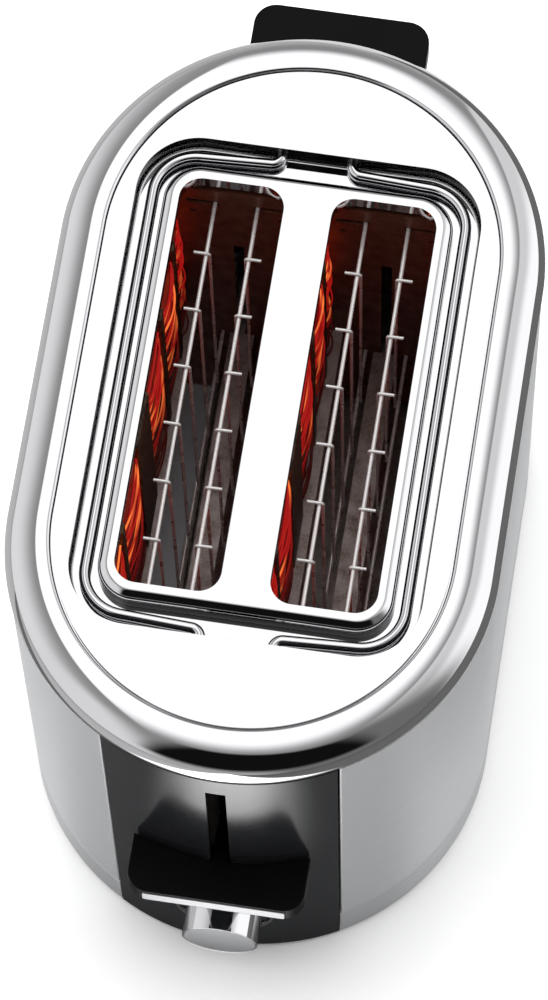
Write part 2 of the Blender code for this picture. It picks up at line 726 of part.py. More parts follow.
def make_panels():
    """Front panel with the bread lever's slot, back panel with the rack lever's slot."""
    outline = panel_outline(PANEL_HALF, BODY_RADIUS, BODY_RADIUS - PANEL_THICKNESS)
    low = BASE_Z + PANEL_FOOT
    high = TOP_Z - SHELL_TOP_DROP
    front = plate("front_panel", [outline], "Z", low, high, PANEL_GREY)
    slot_low = LEVER_TOP_Z - LEVER_HEIGHT - PANEL_SLOT_END_GAP
    slot_high = LEVER_TOP_Z + CARRIAGE_TRAVEL + PANEL_SLOT_END_GAP
    cut(front, box("front_lever_slot",
                   (-PANEL_SLOT_HALF_X, -LEVER_REACH, slot_low),
                   (PANEL_SLOT_HALF_X, -STRAIGHT_HALF, slot_high)))
    cut(front, cylinder("front_control_hole", "Y", (0.0, -LEVER_REACH, KNOB_Z), -STRAIGHT_HALF,
                        CONTROL_BUSH_RADIUS + GAP, ROUND_SEGMENTS))
    back = plate("back_panel", [mirrored_y(outline)], "Z", low, high, PANEL_GREY)
    lever_top = TOP_Z - RACK_LEVER_TOP_DROP
    slot_low = lever_top - LEVER_HEIGHT - RACK_TRAVEL - PANEL_SLOT_END_GAP
    slot_high = lever_top + PANEL_SLOT_END_GAP
    cut(back, box("back_lever_slot",
                  (-PANEL_SLOT_HALF_X, STRAIGHT_HALF, slot_low),
                  (PANEL_SLOT_HALF_X, LEVER_REACH, slot_high)))
    opening_x = TRAY_FACE_HALF_X + TRAY_OPENING_CLEARANCE / 2
    cut(back, box("back_tray_opening",
                  (-opening_x, STRAIGHT_HALF, FLOOR_Z),
                  (opening_x, LEVER_REACH, FLOOR_Z + GAP + TRAY_FACE_HEIGHT + GAP)))


def rim_profile():
    """Closed section of the rim as (distance out from the body's centre line, height)."""
    lower_radius = RIM_RADIUS - RIM_LOWER_TUCK
    crown_radius = RIM_INNER_RADIUS + RIM_SHOULDER
    crown_z = TOP_Z + RIM_CROWN
    widest_z = TOP_Z - RIM_WIDEST_DROP
    lower_z = TOP_Z - RIM_LOWER_DROP
    outer = [(RIM_INNER_RADIUS, TOP_Z), (crown_radius, crown_z)]
    for index in range(1, RIM_STEPS + 1):
        angle = math.pi / 2 * index / RIM_STEPS
        outer.append((crown_radius + (RIM_RADIUS - crown_radius) * math.sin(angle),
                      widest_z + (crown_z - widest_z) * math.cos(angle)))
    outer.append((lower_radius, lower_z))
    inner = [(lower_radius - RIM_THICKNESS, lower_z)]
    inner_radius = RIM_RADIUS - RIM_THICKNESS
    inner_crown = crown_z - RIM_THICKNESS
    for index in range(RIM_STEPS, -1, -1):
        angle = math.pi / 2 * index / RIM_STEPS
        inner.append((crown_radius + (inner_radius - crown_radius) * math.sin(angle),
                      widest_z + (inner_crown - widest_z) * math.cos(angle)))
    plate_low = TOP_Z - TOP_PLATE_THICKNESS
    ledge_top = plate_low - GAP
    ledge_low = ledge_top - RIM_THICKNESS
    ledge_radius = RIM_INNER_RADIUS - RIM_LEDGE_WIDTH
    ledge = [(RIM_INNER_RADIUS + RIM_THICKNESS, ledge_low), (ledge_radius, ledge_low),
             (ledge_radius, ledge_top), (RIM_INNER_RADIUS, ledge_top)]
    return outer + inner + ledge


def make_top_rim():
    """Chrome rim: its section swept round the stadium."""
    section = bpy.data.curves.new("top_rim_section", "CURVE")
    section.dimensions = "2D"
    spline = section.splines.new("POLY")
    profile = rim_profile()
    spline.points.add(len(profile) - 1)
    for point, (out, height) in zip(spline.points, profile):
        point.co = (out - RIM_RADIUS, height - TOP_Z, 0.0, 1.0)
    spline.use_cyclic_u = True
    section_holder = bpy.data.objects.new("top_rim_section", section)
    CUTTERS.objects.link(section_holder)
    path = bpy.data.curves.new("top_rim", "CURVE")
    path.dimensions = "3D"
    path.fill_mode = "FULL"
    path.twist_mode = "Z_UP"
    path.bevel_mode = "OBJECT"
    path.bevel_object = section_holder
    outline = stadium(RIM_RADIUS)
    spline = path.splines.new("POLY")
    spline.points.add(len(outline) - 1)
    for point, (x, y) in zip(spline.points, outline):
        point.co = (x, y, 0.0, 1.0)
    spline.use_cyclic_u = True
    rim = mesh_from_curve("top_rim", path, Matrix.Translation((0.0, 0.0, TOP_Z)), CHROME)
    bpy.data.objects.remove(section_holder, do_unlink=True)
    return rim


def make_top_plate():
    """Flat top plate with the sunk trough round the slot plate."""
    plate_low = TOP_Z - TOP_PLATE_THICKNESS
    trough_low = TOP_Z - TROUGH_DEPTH - TROUGH_WALL
    outline = stadium(RIM_INNER_RADIUS - GAP)
    top = plate("top_plate", [outline], "Z", plate_low, TOP_Z, CHROME)
    outside = rounded_rectangle(TROUGH_HALF_X + TROUGH_WALL, TROUGH_HALF_Y + TROUGH_WALL,
                                TROUGH_CORNER + TROUGH_WALL)
    join(top, plate("trough_block", [outside], "Z", trough_low, plate_low + FUSE))
    inside = rounded_rectangle(TROUGH_HALF_X, TROUGH_HALF_Y, TROUGH_CORNER)
    cut(top, plate("trough_hollow", [inside], "Z", TOP_Z - TROUGH_DEPTH, TOP_Z + OVERRUN))
    hole = rounded_rectangle(TROUGH_FLOOR_INNER_X, TROUGH_FLOOR_INNER_Y, TROUGH_FLOOR_CORNER)
    cut(top, plate("trough_floor_hole", [hole], "Z", trough_low - OVERRUN, TOP_Z))
    for index, (side, end) in enumerate(((LEFT, FRONT), (RIGHT, FRONT), (LEFT, BACK), (RIGHT, BACK))):
        y_low = min(end * (TROUGH_HALF_Y - OVERRUN), end * (TROUGH_HALF_Y + TROUGH_WALL + OVERRUN))
        y_high = max(end * (TROUGH_HALF_Y - OVERRUN), end * (TROUGH_HALF_Y + TROUGH_WALL + OVERRUN))
        cut(top, cylinder("rack_hole_%d" % (index + 1), "Y",
                          (side * RACK_HINGE_X, y_low, TOP_Z - RACK_DROP), y_high,
                          RACK_WIRE_RADIUS + RUNNING_GAP, SMALL_SEGMENTS))
    return top


def make_slot_plate():
    """Raised pan with the two bread slots and their turned-down lips."""
    low = TOP_Z - TROUGH_DEPTH + GAP
    outside = rounded_rectangle(SLOT_PLATE_HALF_X, SLOT_PLATE_HALF_Y, SLOT_PLATE_CORNER)
    pan = plate("slot_plate", [outside], "Z", low, TOP_Z, CHROME)
    wall = SLOT_PLATE_THICKNESS
    inside = rounded_rectangle(SLOT_PLATE_HALF_X - wall, SLOT_PLATE_HALF_Y - wall,
                               SLOT_PLATE_CORNER - wall)
    cut(pan, plate("slot_plate_hollow", [inside], "Z", low - OVERRUN, TOP_Z - wall))
    lips = []
    mouths = []
    for side in (LEFT, RIGHT):
        centre = side * SLOT_CENTRE_X
        lips.append(rounded_rectangle(SLOT_HALF_X + SLOT_LIP, SLOT_HALF_Y + SLOT_LIP,
                                      SLOT_CORNER + SLOT_LIP, centre))
        mouths.append(rounded_rectangle(SLOT_HALF_X, SLOT_HALF_Y, SLOT_CORNER, centre))
    join(pan, plate("slot_lips", lips, "Z", TOP_Z - SLOT_LIP_DEPTH, TOP_Z - wall / 2))
    cut(pan, plate("slot_mouths", mouths, "Z", TOP_Z - SLOT_LIP_DEPTH - OVERRUN, TOP_Z + OVERRUN))
    return pan


def guide_slot(side, opening_side):
    """Slot in an end plate, as a rectangle in (x, z), for one guide's upper wire."""
    centre = side * SLOT_CENTRE_X
    inner = centre + opening_side * (GUIDE_WIRE_OFFSET - GUIDE_WIRE_RADIUS - RUNNING_GAP)
    outer = centre + opening_side * (GUIDE_WIRE_OFFSET + GUIDE_SLOT_LENGTH)
    low = TOP_Z - GUIDE_TOP_DROP - GUIDE_WIRE_RADIUS - 2 * RUNNING_GAP
    high = TOP_Z - GUIDE_TOP_DROP + GUIDE_WIRE_RADIUS + RUNNING_GAP
    return (min(inner, outer), low), (max(inner, outer), high)


def end_plate_holes():
    """Outlines of all openings that both end plates share."""
    holes = []
    for side in (LEFT, RIGHT):
        centre = side * SLOT_CENTRE_X
        slot_low = CARRIER_TOP_Z - CARRIER_WEB_HEIGHT - CARRIER_SLOT_LOW_CLEARANCE
        slot_high = CARRIER_TOP_Z + CARRIAGE_TRAVEL + CARRIER_SLOT_TOP_CLEARANCE
        holes.append(rectangle((centre - CARRIER_SLOT_HALF_X, slot_low),
                               (centre + CARRIER_SLOT_HALF_X, slot_high)))
        for opening_side in (LEFT, RIGHT):
            holes.append(rectangle(*guide_slot(side, opening_side)))
            hinge = (centre + opening_side * GUIDE_WIRE_OFFSET, GUIDE_LOW_Z)
            hole = arc(hinge, GUIDE_WIRE_RADIUS + RUNNING_GAP, 0.0, 2 * math.pi, SMALL_SEGMENTS)
            holes.append(hole[:-1])
            peephole = (centre + opening_side * PEEPHOLE_OFFSET, TOP_Z - PEEPHOLE_DROP)
            holes.append(arc(peephole, PEEPHOLE_RADIUS, 0.0, 2 * math.pi, SMALL_SEGMENTS)[:-1])
    return holes


def make_end_plates():
    """Sheet plates that close the bread chamber and carry the moving wires."""
    low = FLOOR_Z + GAP
    shoulder = TOP_Z - TROUGH_DEPTH - TROUGH_WALL - GAP
    top = TOP_Z - END_PLATE_TOP_DROP
    opening_x = TRAY_HALF_X + TRAY_OPENING_CLEARANCE
    opening_top = FLOOR_Z + GAP + TRAY_HEIGHT + TRAY_OPENING_CLEARANCE
    front_edge = [(-END_PLATE_HALF_X, low), (END_PLATE_HALF_X, low)]
    back_edge = [(-END_PLATE_HALF_X, low), (-opening_x, low), (-opening_x, opening_top),
                 (opening_x, opening_top), (opening_x, low), (END_PLATE_HALF_X, low)]
    upper = [(END_PLATE_HALF_X, shoulder), (END_PLATE_NECK_HALF_X, shoulder),
             (END_PLATE_NECK_HALF_X, top), (-END_PLATE_NECK_HALF_X, top),
             (-END_PLATE_NECK_HALF_X, shoulder), (-END_PLATE_HALF_X, shoulder)]
    for end, name, edge in ((FRONT, "front", front_edge), (BACK, "back", back_edge)):
        near = end * END_PLATE_Y
        far = end * (END_PLATE_Y + END_PLATE_THICKNESS)
        sheet = plate(name + "_end_plate", [edge + upper], "Y", min(near, far), max(near, far),
                      PLATED_SHEET)
        cut(sheet, plate(name + "_end_plate_holes", end_plate_holes(), "Y",
                         min(near, far) - OVERRUN, max(near, far) + OVERRUN))
        root = end * (END_PLATE_Y + END_PLATE_THICKNESS / 2)
        reach = end * (END_PLATE_Y + END_PLATE_THICKNESS + FLANGE_REACH)
        join(sheet, box(name + "_top_flange",
                        (-END_PLATE_NECK_HALF_X + FUSE, min(root, reach), shoulder - FLANGE_THICKNESS),
                        (END_PLATE_NECK_HALF_X - FUSE, max(root, reach), shoulder)))
        for side in (LEFT, RIGHT):
            inner = side * FLANGE_INNER_X
            outer = side * (END_PLATE_HALF_X - FUSE)
            flange = box("%s_flange_%s" % (name, "left" if side == LEFT else "right"),
                         (min(inner, outer), min(root, reach), low),
                         (max(inner, outer), max(root, reach), low + FLANGE_THICKNESS))
            join(sheet, flange)
            cut(sheet, cylinder("%s_flange_hole_%s" % (name, "left" if side == LEFT else "right"),
                                "Z", (side * SCREW_X, end * SCREW_Y, low - OVERRUN),
                                low + FLANGE_THICKNESS + OVERRUN,
                                SCREW_SHANK_RADIUS + RUNNING_GAP, SMALL_SEGMENTS))


def make_reflectors():
    """Outer reflector sheets with a shelf, and the channel under the inner boards."""
    length_half = END_PLATE_Y - GAP
    shelf_top = SHELF_Z
    shelf_low = shelf_top - SHEET_THICKNESS
    sheet_x = REFLECTOR_X - SHEET_THICKNESS
    top = TOP_Z - REFLECTOR_TOP_DROP
    for side, name in ((LEFT, "left"), (RIGHT, "right")):
        profile = [(SHELF_INNER_X, shelf_low), (REFLECTOR_X, shelf_low), (REFLECTOR_X, top),
                   (sheet_x, top), (sheet_x, shelf_top), (SHELF_INNER_X, shelf_top)]
        outline = [(side * x, z) for x, z in profile]
        plate(name + "_reflector", [outline], "Y", -length_half, length_half, PLATED_SHEET)
    inner = RAIL_HALF_X - SHEET_THICKNESS
    low = shelf_top - RAIL_HEIGHT
    channel = [(-RAIL_HALF_X, low), (-inner, low), (-inner, shelf_low), (inner, shelf_low),
               (inner, low), (RAIL_HALF_X, low), (RAIL_HALF_X, shelf_top), (-RAIL_HALF_X, shelf_top)]
    plate("centre_rail", [channel], "Y", -length_half, length_half, PLATED_SHEET)


def heater_places():
    """Name and middle x of each heater board."""
    return [("outer_left", -SLOT_CENTRE_X - BOARD_OFFSET), ("inner_left", -SLOT_CENTRE_X + BOARD_OFFSET),
            ("inner_right", SLOT_CENTRE_X - BOARD_OFFSET), ("outer_right", SLOT_CENTRE_X + BOARD_OFFSET)]


def board_heights():
    """Lowest and highest point of the heater boards."""
    return SHELF_Z + GAP, TOP_Z - BOARD_TOP_DROP


def make_heater_boards():
    """Mica boards, drawn in between their end tabs where the wire passes round them."""
    low, high = board_heights()
    tab_half = END_PLATE_Y - GAP
    notch_low = low + BOARD_TAB_HEIGHT
    notch_high = high - BOARD_TAB_HEIGHT
    outline = [(-tab_half, low), (tab_half, low), (tab_half, notch_low),
               (BOARD_NOTCH_HALF_Y, notch_low), (BOARD_NOTCH_HALF_Y, notch_high),
               (tab_half, notch_high), (tab_half, high), (-tab_half, high),
               (-tab_half, notch_high), (-BOARD_NOTCH_HALF_Y, notch_high),
               (-BOARD_NOTCH_HALF_Y, notch_low), (-tab_half, notch_low)]
    for name, x in heater_places():
        plate("mica_board_" + name, [outline], "X",
              x - BOARD_THICKNESS / 2, x + BOARD_THICKNESS / 2, MICA)


def winding_loop():
    """One turn round a board as (x, y, share of the turn), starting on its +x face."""
    half_x = BOARD_THICKNESS / 2 + GAP + WINDING_RADIUS
    half_y = BOARD_NOTCH_HALF_Y + GAP
    track = []
    for end in (BACK, FRONT):
        track.append((end * half_x, 0.0))
        start = 0.0 if end == BACK else math.pi
        track += arc((0.0, end * half_y), half_x, start, start + math.pi, WINDING_END_STEPS)
    lengths = [0.0]
    for index in range(1, len(track) + 1):
        before = track[index - 1]
        after = track[index % len(track)]
        lengths.append(lengths[-1] + math.dist(before, after))
    return [(x, y, lengths[index] / lengths[-1]) for index, (x, y) in enumerate(track)]


def winding_path(board_x):
    """Middle line of one heater wire: one unbroken spiral round its board."""
    low, high = board_heights()
    start_z = low + BOARD_TAB_HEIGHT + WINDING_MARGIN
    pitch = (high - BOARD_TAB_HEIGHT - WINDING_MARGIN - start_z) / WINDING_TURNS
    points = []
    for turn in range(WINDING_TURNS):
        for x, y, share in winding_loop():
            points.append(Vector((board_x + x, y, start_z + (turn + share) * pitch)))
    return points


def least_gap(points, radius, loop_length):
    """Smallest clear distance from a tube to itself, for points half a loop or more apart."""
    smallest = math.inf
    for index, point in enumerate(points):
        for other in points[index + loop_length // 2:]:
            smallest = min(smallest, (point - other).length - 2 * radius)
    return smallest


def make_heater_windings():
    """Heater wires wound round the boards."""
    for name, x in heater_places():
        points = winding_path(x)
        tube("heater_winding_" + name, [points], WINDING_RADIUS, WINDING_SIDES_SETTING, HEATER_WIRE)
        gap = least_gap(points, WINDING_RADIUS, len(winding_loop()))
        print("heater_winding_%s: least gap to itself %.6f m" % (name, gap))


def make_bread_guide(name, side, opening_side):
    """One wire grid beside a slot; it opens towards opening_side about its lower wire."""
    wire_x = side * SLOT_CENTRE_X + opening_side * GUIDE_WIRE_OFFSET
    upright_x = wire_x - opening_side * GUIDE_WELD_OFFSET
    top_z = TOP_Z - GUIDE_TOP_DROP
    end_y = END_PLATE_Y + END_PLATE_THICKNESS + GUIDE_END_REACH
    wires = [[(wire_x, -end_y, z), (wire_x, end_y, z)] for z in (GUIDE_LOW_Z, top_z)]
    grid = tube(name, wires, GUIDE_WIRE_RADIUS, 1, CHROME)
    uprights = []
    bend = GUIDE_WELD_OFFSET
    hook_z = top_z + bend
    foot_z = GUIDE_LOW_Z - GUIDE_UPRIGHT_RADIUS
    for index in range(GUIDE_UPRIGHTS):
        y = GUIDE_UPRIGHT_SPAN * (index / (GUIDE_UPRIGHTS - 1) - 0.5)
        corner = (upright_x, y, hook_z)
        hook_end = (wire_x + opening_side * GUIDE_HOOK_REACH, y, hook_z)
        uprights.append(filleted([(upright_x, y, foot_z), corner, hook_end],
                                 [GUIDE_UPRIGHT_RADIUS], 1))
    join(grid, tube(name + "_uprights", uprights, GUIDE_UPRIGHT_RADIUS, 0))
    joint_empty(name + "_axis", (wire_x, 0.0, GUIDE_LOW_Z), [grid])
    return grid


def make_bread_guides():
    """Four guides, two beside each slot."""
    make_bread_guide("bread_guide_left_outer", LEFT, LEFT)
    make_bread_guide("bread_guide_left_inner", LEFT, RIGHT)
    make_bread_guide("bread_guide_right_inner", RIGHT, LEFT)
    make_bread_guide("bread_guide_right_outer", RIGHT, RIGHT)


def make_bread_carriers():
    """Strips that the slices stand on, each with a web that passes through both end plates."""
    pieces = []
    strip_half = END_PLATE_Y - CARRIER_END_CLEARANCE
    web_low = CARRIER_TOP_Z - CARRIER_WEB_HEIGHT
    flange_low = CARRIER_TOP_Z - CARRIER_THICKNESS
    back_end = END_PLATE_Y + END_PLATE_THICKNESS + CARRIER_TAB_REACH
    for side, name in ((LEFT, "left"), (RIGHT, "right")):
        centre = side * SLOT_CENTRE_X
        web = [(centre - CARRIER_WEB_HALF_X, web_low), (centre + CARRIER_WEB_HALF_X, web_low),
               (centre + CARRIER_WEB_HALF_X, flange_low), (centre + CARRIER_HALF_X, flange_low),
               (centre + CARRIER_HALF_X, CARRIER_TOP_Z), (centre - CARRIER_HALF_X, CARRIER_TOP_Z),
               (centre - CARRIER_HALF_X, flange_low), (centre - CARRIER_WEB_HALF_X, flange_low)]
        carrier = plate("bread_carrier_" + name, [web], "Y", -strip_half, strip_half, PLATED_SHEET)
        tab_half = CARRIER_WEB_HALF_X + FUSE / 2
        join(carrier, box("bread_carrier_%s_tabs" % name,
                          (centre - tab_half, -(CROSSBAR_Y - GAP), web_low + FUSE),
                          (centre + tab_half, back_end, flange_low + FUSE)))
        pieces.append(carrier)
    return pieces


def make_carriage():
    """Carriage on the front rod: hub, web, crossbar behind the carriers, arm to the lever."""
    rod_y = -ROD_Y
    hub_high = HUB_LOW_Z + HUB_HEIGHT
    carriage = cylinder("carriage_block", "Z", (0.0, rod_y, HUB_LOW_Z), hub_high, HUB_RADIUS,
                        ROUND_SEGMENTS, BLACK_PLASTIC)
    crossbar_front = -(CROSSBAR_Y + CROSSBAR_THICKNESS)
    crossbar_high = CROSSBAR_LOW_Z + CROSSBAR_HEIGHT
    join(carriage, box("carriage_web",
                       (-CARRIAGE_WEB_HALF_X, rod_y, HUB_LOW_Z - FUSE),
                       (CARRIAGE_WEB_HALF_X, crossbar_front + CROSSBAR_THICKNESS / 2,
                        HUB_LOW_Z + CARRIAGE_WEB_HEIGHT)))
    join(carriage, box("carriage_knee",
                       (-CARRIAGE_WEB_HALF_X + FUSE, rod_y + HUB_RADIUS + FUSE, CROSSBAR_LOW_Z + FUSE),
                       (CARRIAGE_WEB_HALF_X - FUSE, crossbar_front + CROSSBAR_THICKNESS / 4,
                        HUB_LOW_Z + FUSE)))
    join(carriage, box("carriage_crossbar",
                       (-CROSSBAR_HALF_X, crossbar_front, CROSSBAR_LOW_Z),
                       (CROSSBAR_HALF_X, -CROSSBAR_Y, crossbar_high)))
    lever_top = LEVER_TOP_Z
    join(carriage, box("carriage_arm",
                       (-CARRIAGE_WEB_HALF_X, rod_y - LEVER_ARM_REACH, lever_top - LEVER_HEIGHT),
                       (CARRIAGE_WEB_HALF_X, rod_y, lever_top)))
    lug_low = crossbar_high - SPRING_LUG_THICKNESS - FUSE
    join(carriage, box("carriage_spring_lug",
                       (-SPRING_LUG_X - SPRING_LUG_HALF_X, crossbar_front - SPRING_LUG_REACH, lug_low),
                       (-SPRING_LUG_X + SPRING_LUG_HALF_X, crossbar_front + CROSSBAR_THICKNESS / 2,
                        lug_low + SPRING_LUG_THICKNESS)))
    cut(carriage, cylinder("carriage_bore", "Z", (0.0, rod_y, HUB_LOW_Z - OVERRUN),
                           hub_high + OVERRUN, ROD_RADIUS + RUNNING_GAP, ROUND_SEGMENTS))
    return carriage


def make_front_rod():
    """Rod that guides the carriage, from the floor to the top plate."""
    cylinder("front_guide_rod", "Z", (0.0, -ROD_Y, FLOOR_Z + GAP),
             TOP_Z - TOP_PLATE_THICKNESS - GAP, ROD_RADIUS, ROUND_SEGMENTS, BRUSHED_STEEL)


def make_lift_spring():
    """Pulled coil from the carriage's lug up to the front end plate's top flange."""
    low = CROSSBAR_LOW_Z + CROSSBAR_HEIGHT - FUSE + GAP + SPRING_WIRE_RADIUS
    high = (TOP_Z - TROUGH_DEPTH - TROUGH_WALL - GAP - FLANGE_THICKNESS - GAP - SPRING_WIRE_RADIUS)
    centre_y = -(CROSSBAR_Y + CROSSBAR_THICKNESS + SPRING_LUG_OFFSET)
    count = SPRING_TURNS * SPRING_STEPS
    points = []
    for index in range(count + 1):
        angle = 2 * math.pi * index / SPRING_STEPS
        points.append(Vector((-SPRING_LUG_X + SPRING_RADIUS * math.cos(angle),
                              centre_y + SPRING_RADIUS * math.sin(angle),
                              low + (high - low) * index / count)))
    tube("lift_spring", [points], SPRING_WIRE_RADIUS, 1, BRUSHED_STEEL)
    gap = least_gap(points, SPRING_WIRE_RADIUS, SPRING_STEPS)
    print("lift_spring: least gap to itself %.6f m" % gap)


def lever_outline():
    """Plan outline of a lever in front of the front panel."""
    back_radius = BODY_RADIUS + LEVER_PANEL_GAP
    angle = wall_angle(back_radius, LEVER_HALF_X)
    front_y = -(LEVER_REACH - TRIM_PROUD)
    corner_x = LEVER_HALF_X - LEVER_CORNER
    corner_y = front_y + LEVER_CORNER
    outline = end_arc(back_radius, angle, -angle, FRONT)
    outline += arc((-corner_x, corner_y), LEVER_CORNER, math.pi, math.pi * 1.5, CORNER_STEPS)
    outline += arc((corner_x, corner_y), LEVER_CORNER, math.pi * 1.5, math.pi * 2, CORNER_STEPS)
    return outline


def make_lever(name, end, top_z, arm_y):
    """A wide lever outside a panel, its neck through the slot, and its metal trim."""
    def along(near, far):
        """Low and high y of a stretch given as distances from the middle."""
        return min(end * near, end * far), max(end * near, end * far)

    outline = lever_outline() if end == FRONT else mirrored_y(lever_outline())
    low_z = top_z - LEVER_HEIGHT
    lever = plate(name, [outline], "Z", low_z, top_z, BLACK_PLASTIC)
    neck = along(arm_y + GAP, BODY_RADIUS + STRAIGHT_HALF + LEVER_CORNER)
    join(lever, box(name + "_neck", (-LEVER_NECK_HALF_X, neck[0], low_z + FUSE),
                    (LEVER_NECK_HALF_X, neck[1], top_z - FUSE)))
    trim_low = top_z - (LEVER_HEIGHT + TRIM_HEIGHT) / 2
    trim_high = trim_low + TRIM_HEIGHT
    pocket = along(LEVER_REACH - TRIM_THICKNESS - GAP, LEVER_REACH + OVERRUN)
    cut(lever, box(name + "_trim_pocket", (-TRIM_HALF_X - GAP, pocket[0], trim_low - GAP),
                   (TRIM_HALF_X + GAP, pocket[1], trim_high + GAP)))
    strip = along(LEVER_REACH - TRIM_THICKNESS, LEVER_REACH)
    trim = box(name + "_trim", (-TRIM_HALF_X, strip[0], trim_low),
               (TRIM_HALF_X, strip[1], trim_high), BRUSHED_STEEL)
    return [lever, trim]


def make_latch():
    """Magnet on the floor and its keeper plate under the carriage's crossbar."""
    keeper_top = CROSSBAR_LOW_Z - GAP
    keeper_low = keeper_top - KEEPER_THICKNESS
    keeper = box("latch_keeper",
                 (MAGNET_X - KEEPER_HALF_X, -MAGNET_Y - KEEPER_HALF_Y, keeper_low),
                 (MAGNET_X + KEEPER_HALF_X, -CROSSBAR_Y, keeper_top), PLATED_SHEET)
    pole_z = keeper_low - GAP
    outer = MAGNET_SPAN / 2
    inner = outer - MAGNET_LEG
    yoke_top = MAGNET_YOKE_Z + MAGNET_LEG
    profile = [(-MAGNET_STEM_HALF, FLOOR_Z + GAP), (MAGNET_STEM_HALF, FLOOR_Z + GAP),
               (MAGNET_STEM_HALF, MAGNET_YOKE_Z), (outer, MAGNET_YOKE_Z), (outer, pole_z),
               (inner, pole_z), (inner, yoke_top), (-inner, yoke_top), (-inner, pole_z),
               (-outer, pole_z), (-outer, MAGNET_YOKE_Z), (-MAGNET_STEM_HALF, MAGNET_YOKE_Z)]
    outline = [(MAGNET_X + x, z) for x, z in profile]
    plate("magnet_core", [outline], "Y", -MAGNET_Y - MAGNET_DEPTH / 2, -MAGNET_Y + MAGNET_DEPTH / 2,
          PLATED_SHEET)
    leg_low = MAGNET_X + inner - GAP
    leg_high = MAGNET_X + outer + GAP
    bore_half = MAGNET_DEPTH / 2 + GAP
    bore = rectangle((leg_low, -MAGNET_Y - bore_half), (leg_high, -MAGNET_Y + bore_half))
    skin = rectangle((leg_low - COIL_WALL, -MAGNET_Y - bore_half - COIL_WALL),
                     (leg_high + COIL_WALL, -MAGNET_Y + bore_half + COIL_WALL))
    plate("magnet_coil", [skin, bore], "Z", yoke_top + GAP, pole_z - COIL_END_MARGIN, COPPER)
    return keeper


def make_controls():
    """Circuit board, browning control with its shaft, knob and bezel ring."""
    board_front = -CONTROL_BACK_Y + GAP
    box("circuit_board", (-CIRCUIT_BOARD_HALF_X, board_front, FLOOR_Z + GAP),
        (CIRCUIT_BOARD_HALF_X, board_front + CIRCUIT_BOARD_THICKNESS, CIRCUIT_BOARD_TOP_Z),
        BOARD_GREEN)
    panel_y = STRAIGHT_HALF + BODY_RADIUS
    body_front = -CONTROL_BACK_Y - CONTROL_LENGTH
    control = cylinder("browning_control", "Y", (0.0, body_front, KNOB_Z), -CONTROL_BACK_Y,
                       CONTROL_RADIUS, ROUND_SEGMENTS, PLATED_SHEET)
    bush_front = -panel_y - CONTROL_BUSH_PROUD
    join(control, cylinder("browning_control_bush", "Y", (0.0, bush_front, KNOB_Z),
                           body_front + CONTROL_LENGTH / 2, CONTROL_BUSH_RADIUS))
    shaft_back = -CONTROL_BACK_Y - CONTROL_FLOOR
    cut(control, cylinder("browning_control_bore", "Y", (0.0, bush_front - OVERRUN, KNOB_Z),
                          shaft_back, SHAFT_RADIUS + RUNNING_GAP))
    knob_back = -panel_y - KNOB_WALL_GAP
    bore_end = knob_back - KNOB_BORE_DEPTH
    shaft = cylinder("knob_shaft", "Y", (0.0, bore_end + GAP, KNOB_Z), shaft_back - GAP,
                     SHAFT_RADIUS, ROUND_SEGMENTS, BRUSHED_STEEL)
    length = KNOB_FACE_Y + knob_back
    profile = [(0.0, length), (KNOB_RADIUS - KNOB_CHAMFER, length),
               (KNOB_RADIUS, length - KNOB_CHAMFER), (KNOB_RADIUS, 0.0),
               (SHAFT_RADIUS + GAP, 0.0), (SHAFT_RADIUS + GAP, KNOB_BORE_DEPTH),
               (0.0, KNOB_BORE_DEPTH)]
    knob = turned("browning_knob", profile, 2 * ROUND_SEGMENTS, CHROME)
    knob.matrix_world = Matrix.Translation((0.0, knob_back, KNOB_Z)) @ PLANE_TURNS["Y"]
    joint_empty("knob_axis", (0.0, knob_back, KNOB_Z), [knob, shaft])
    ring_outline = panel_outline(BEZEL_OUTER_RADIUS + OVERRUN, BODY_RADIUS + GAP + BEZEL_PROUD,
                                 BODY_RADIUS + GAP)
    ring = plate("knob_bezel", [ring_outline], "Z", KNOB_Z - BEZEL_OUTER_RADIUS - OVERRUN,
                 KNOB_Z + BEZEL_OUTER_RADIUS + OVERRUN, CHROME)
    combine(ring, cylinder("knob_bezel_disc", "Y", (0.0, -LEVER_REACH, KNOB_Z), -STRAIGHT_HALF,
                           BEZEL_OUTER_RADIUS, 2 * ROUND_SEGMENTS), "INTERSECT")
    cut(ring, cylinder("knob_bezel_hole", "Y", (0.0, -LEVER_REACH, KNOB_Z), -STRAIGHT_HALF,
                       BEZEL_INNER_RADIUS, 2 * ROUND_SEGMENTS))


def rack_height():
    """Height of the rack wires and of their hinge line."""
    return TOP_Z - RACK_DROP


def crank_y():
    """Near and far face of the cranks behind the trough's wall."""
    near = TROUGH_HALF_Y + TROUGH_WALL + CRANK_WALL_GAP
    return near, near + CRANK_THICKNESS


def crank_pin(side, swing):
    """Place of a crank's pin in (x, z) when its wire has swung up by an angle."""
    hang = RACK_SWING / 2 - swing
    return (side * (RACK_HINGE_X - CRANK_LENGTH * math.sin(hang)),
            rack_height() - CRANK_LENGTH * math.cos(hang))


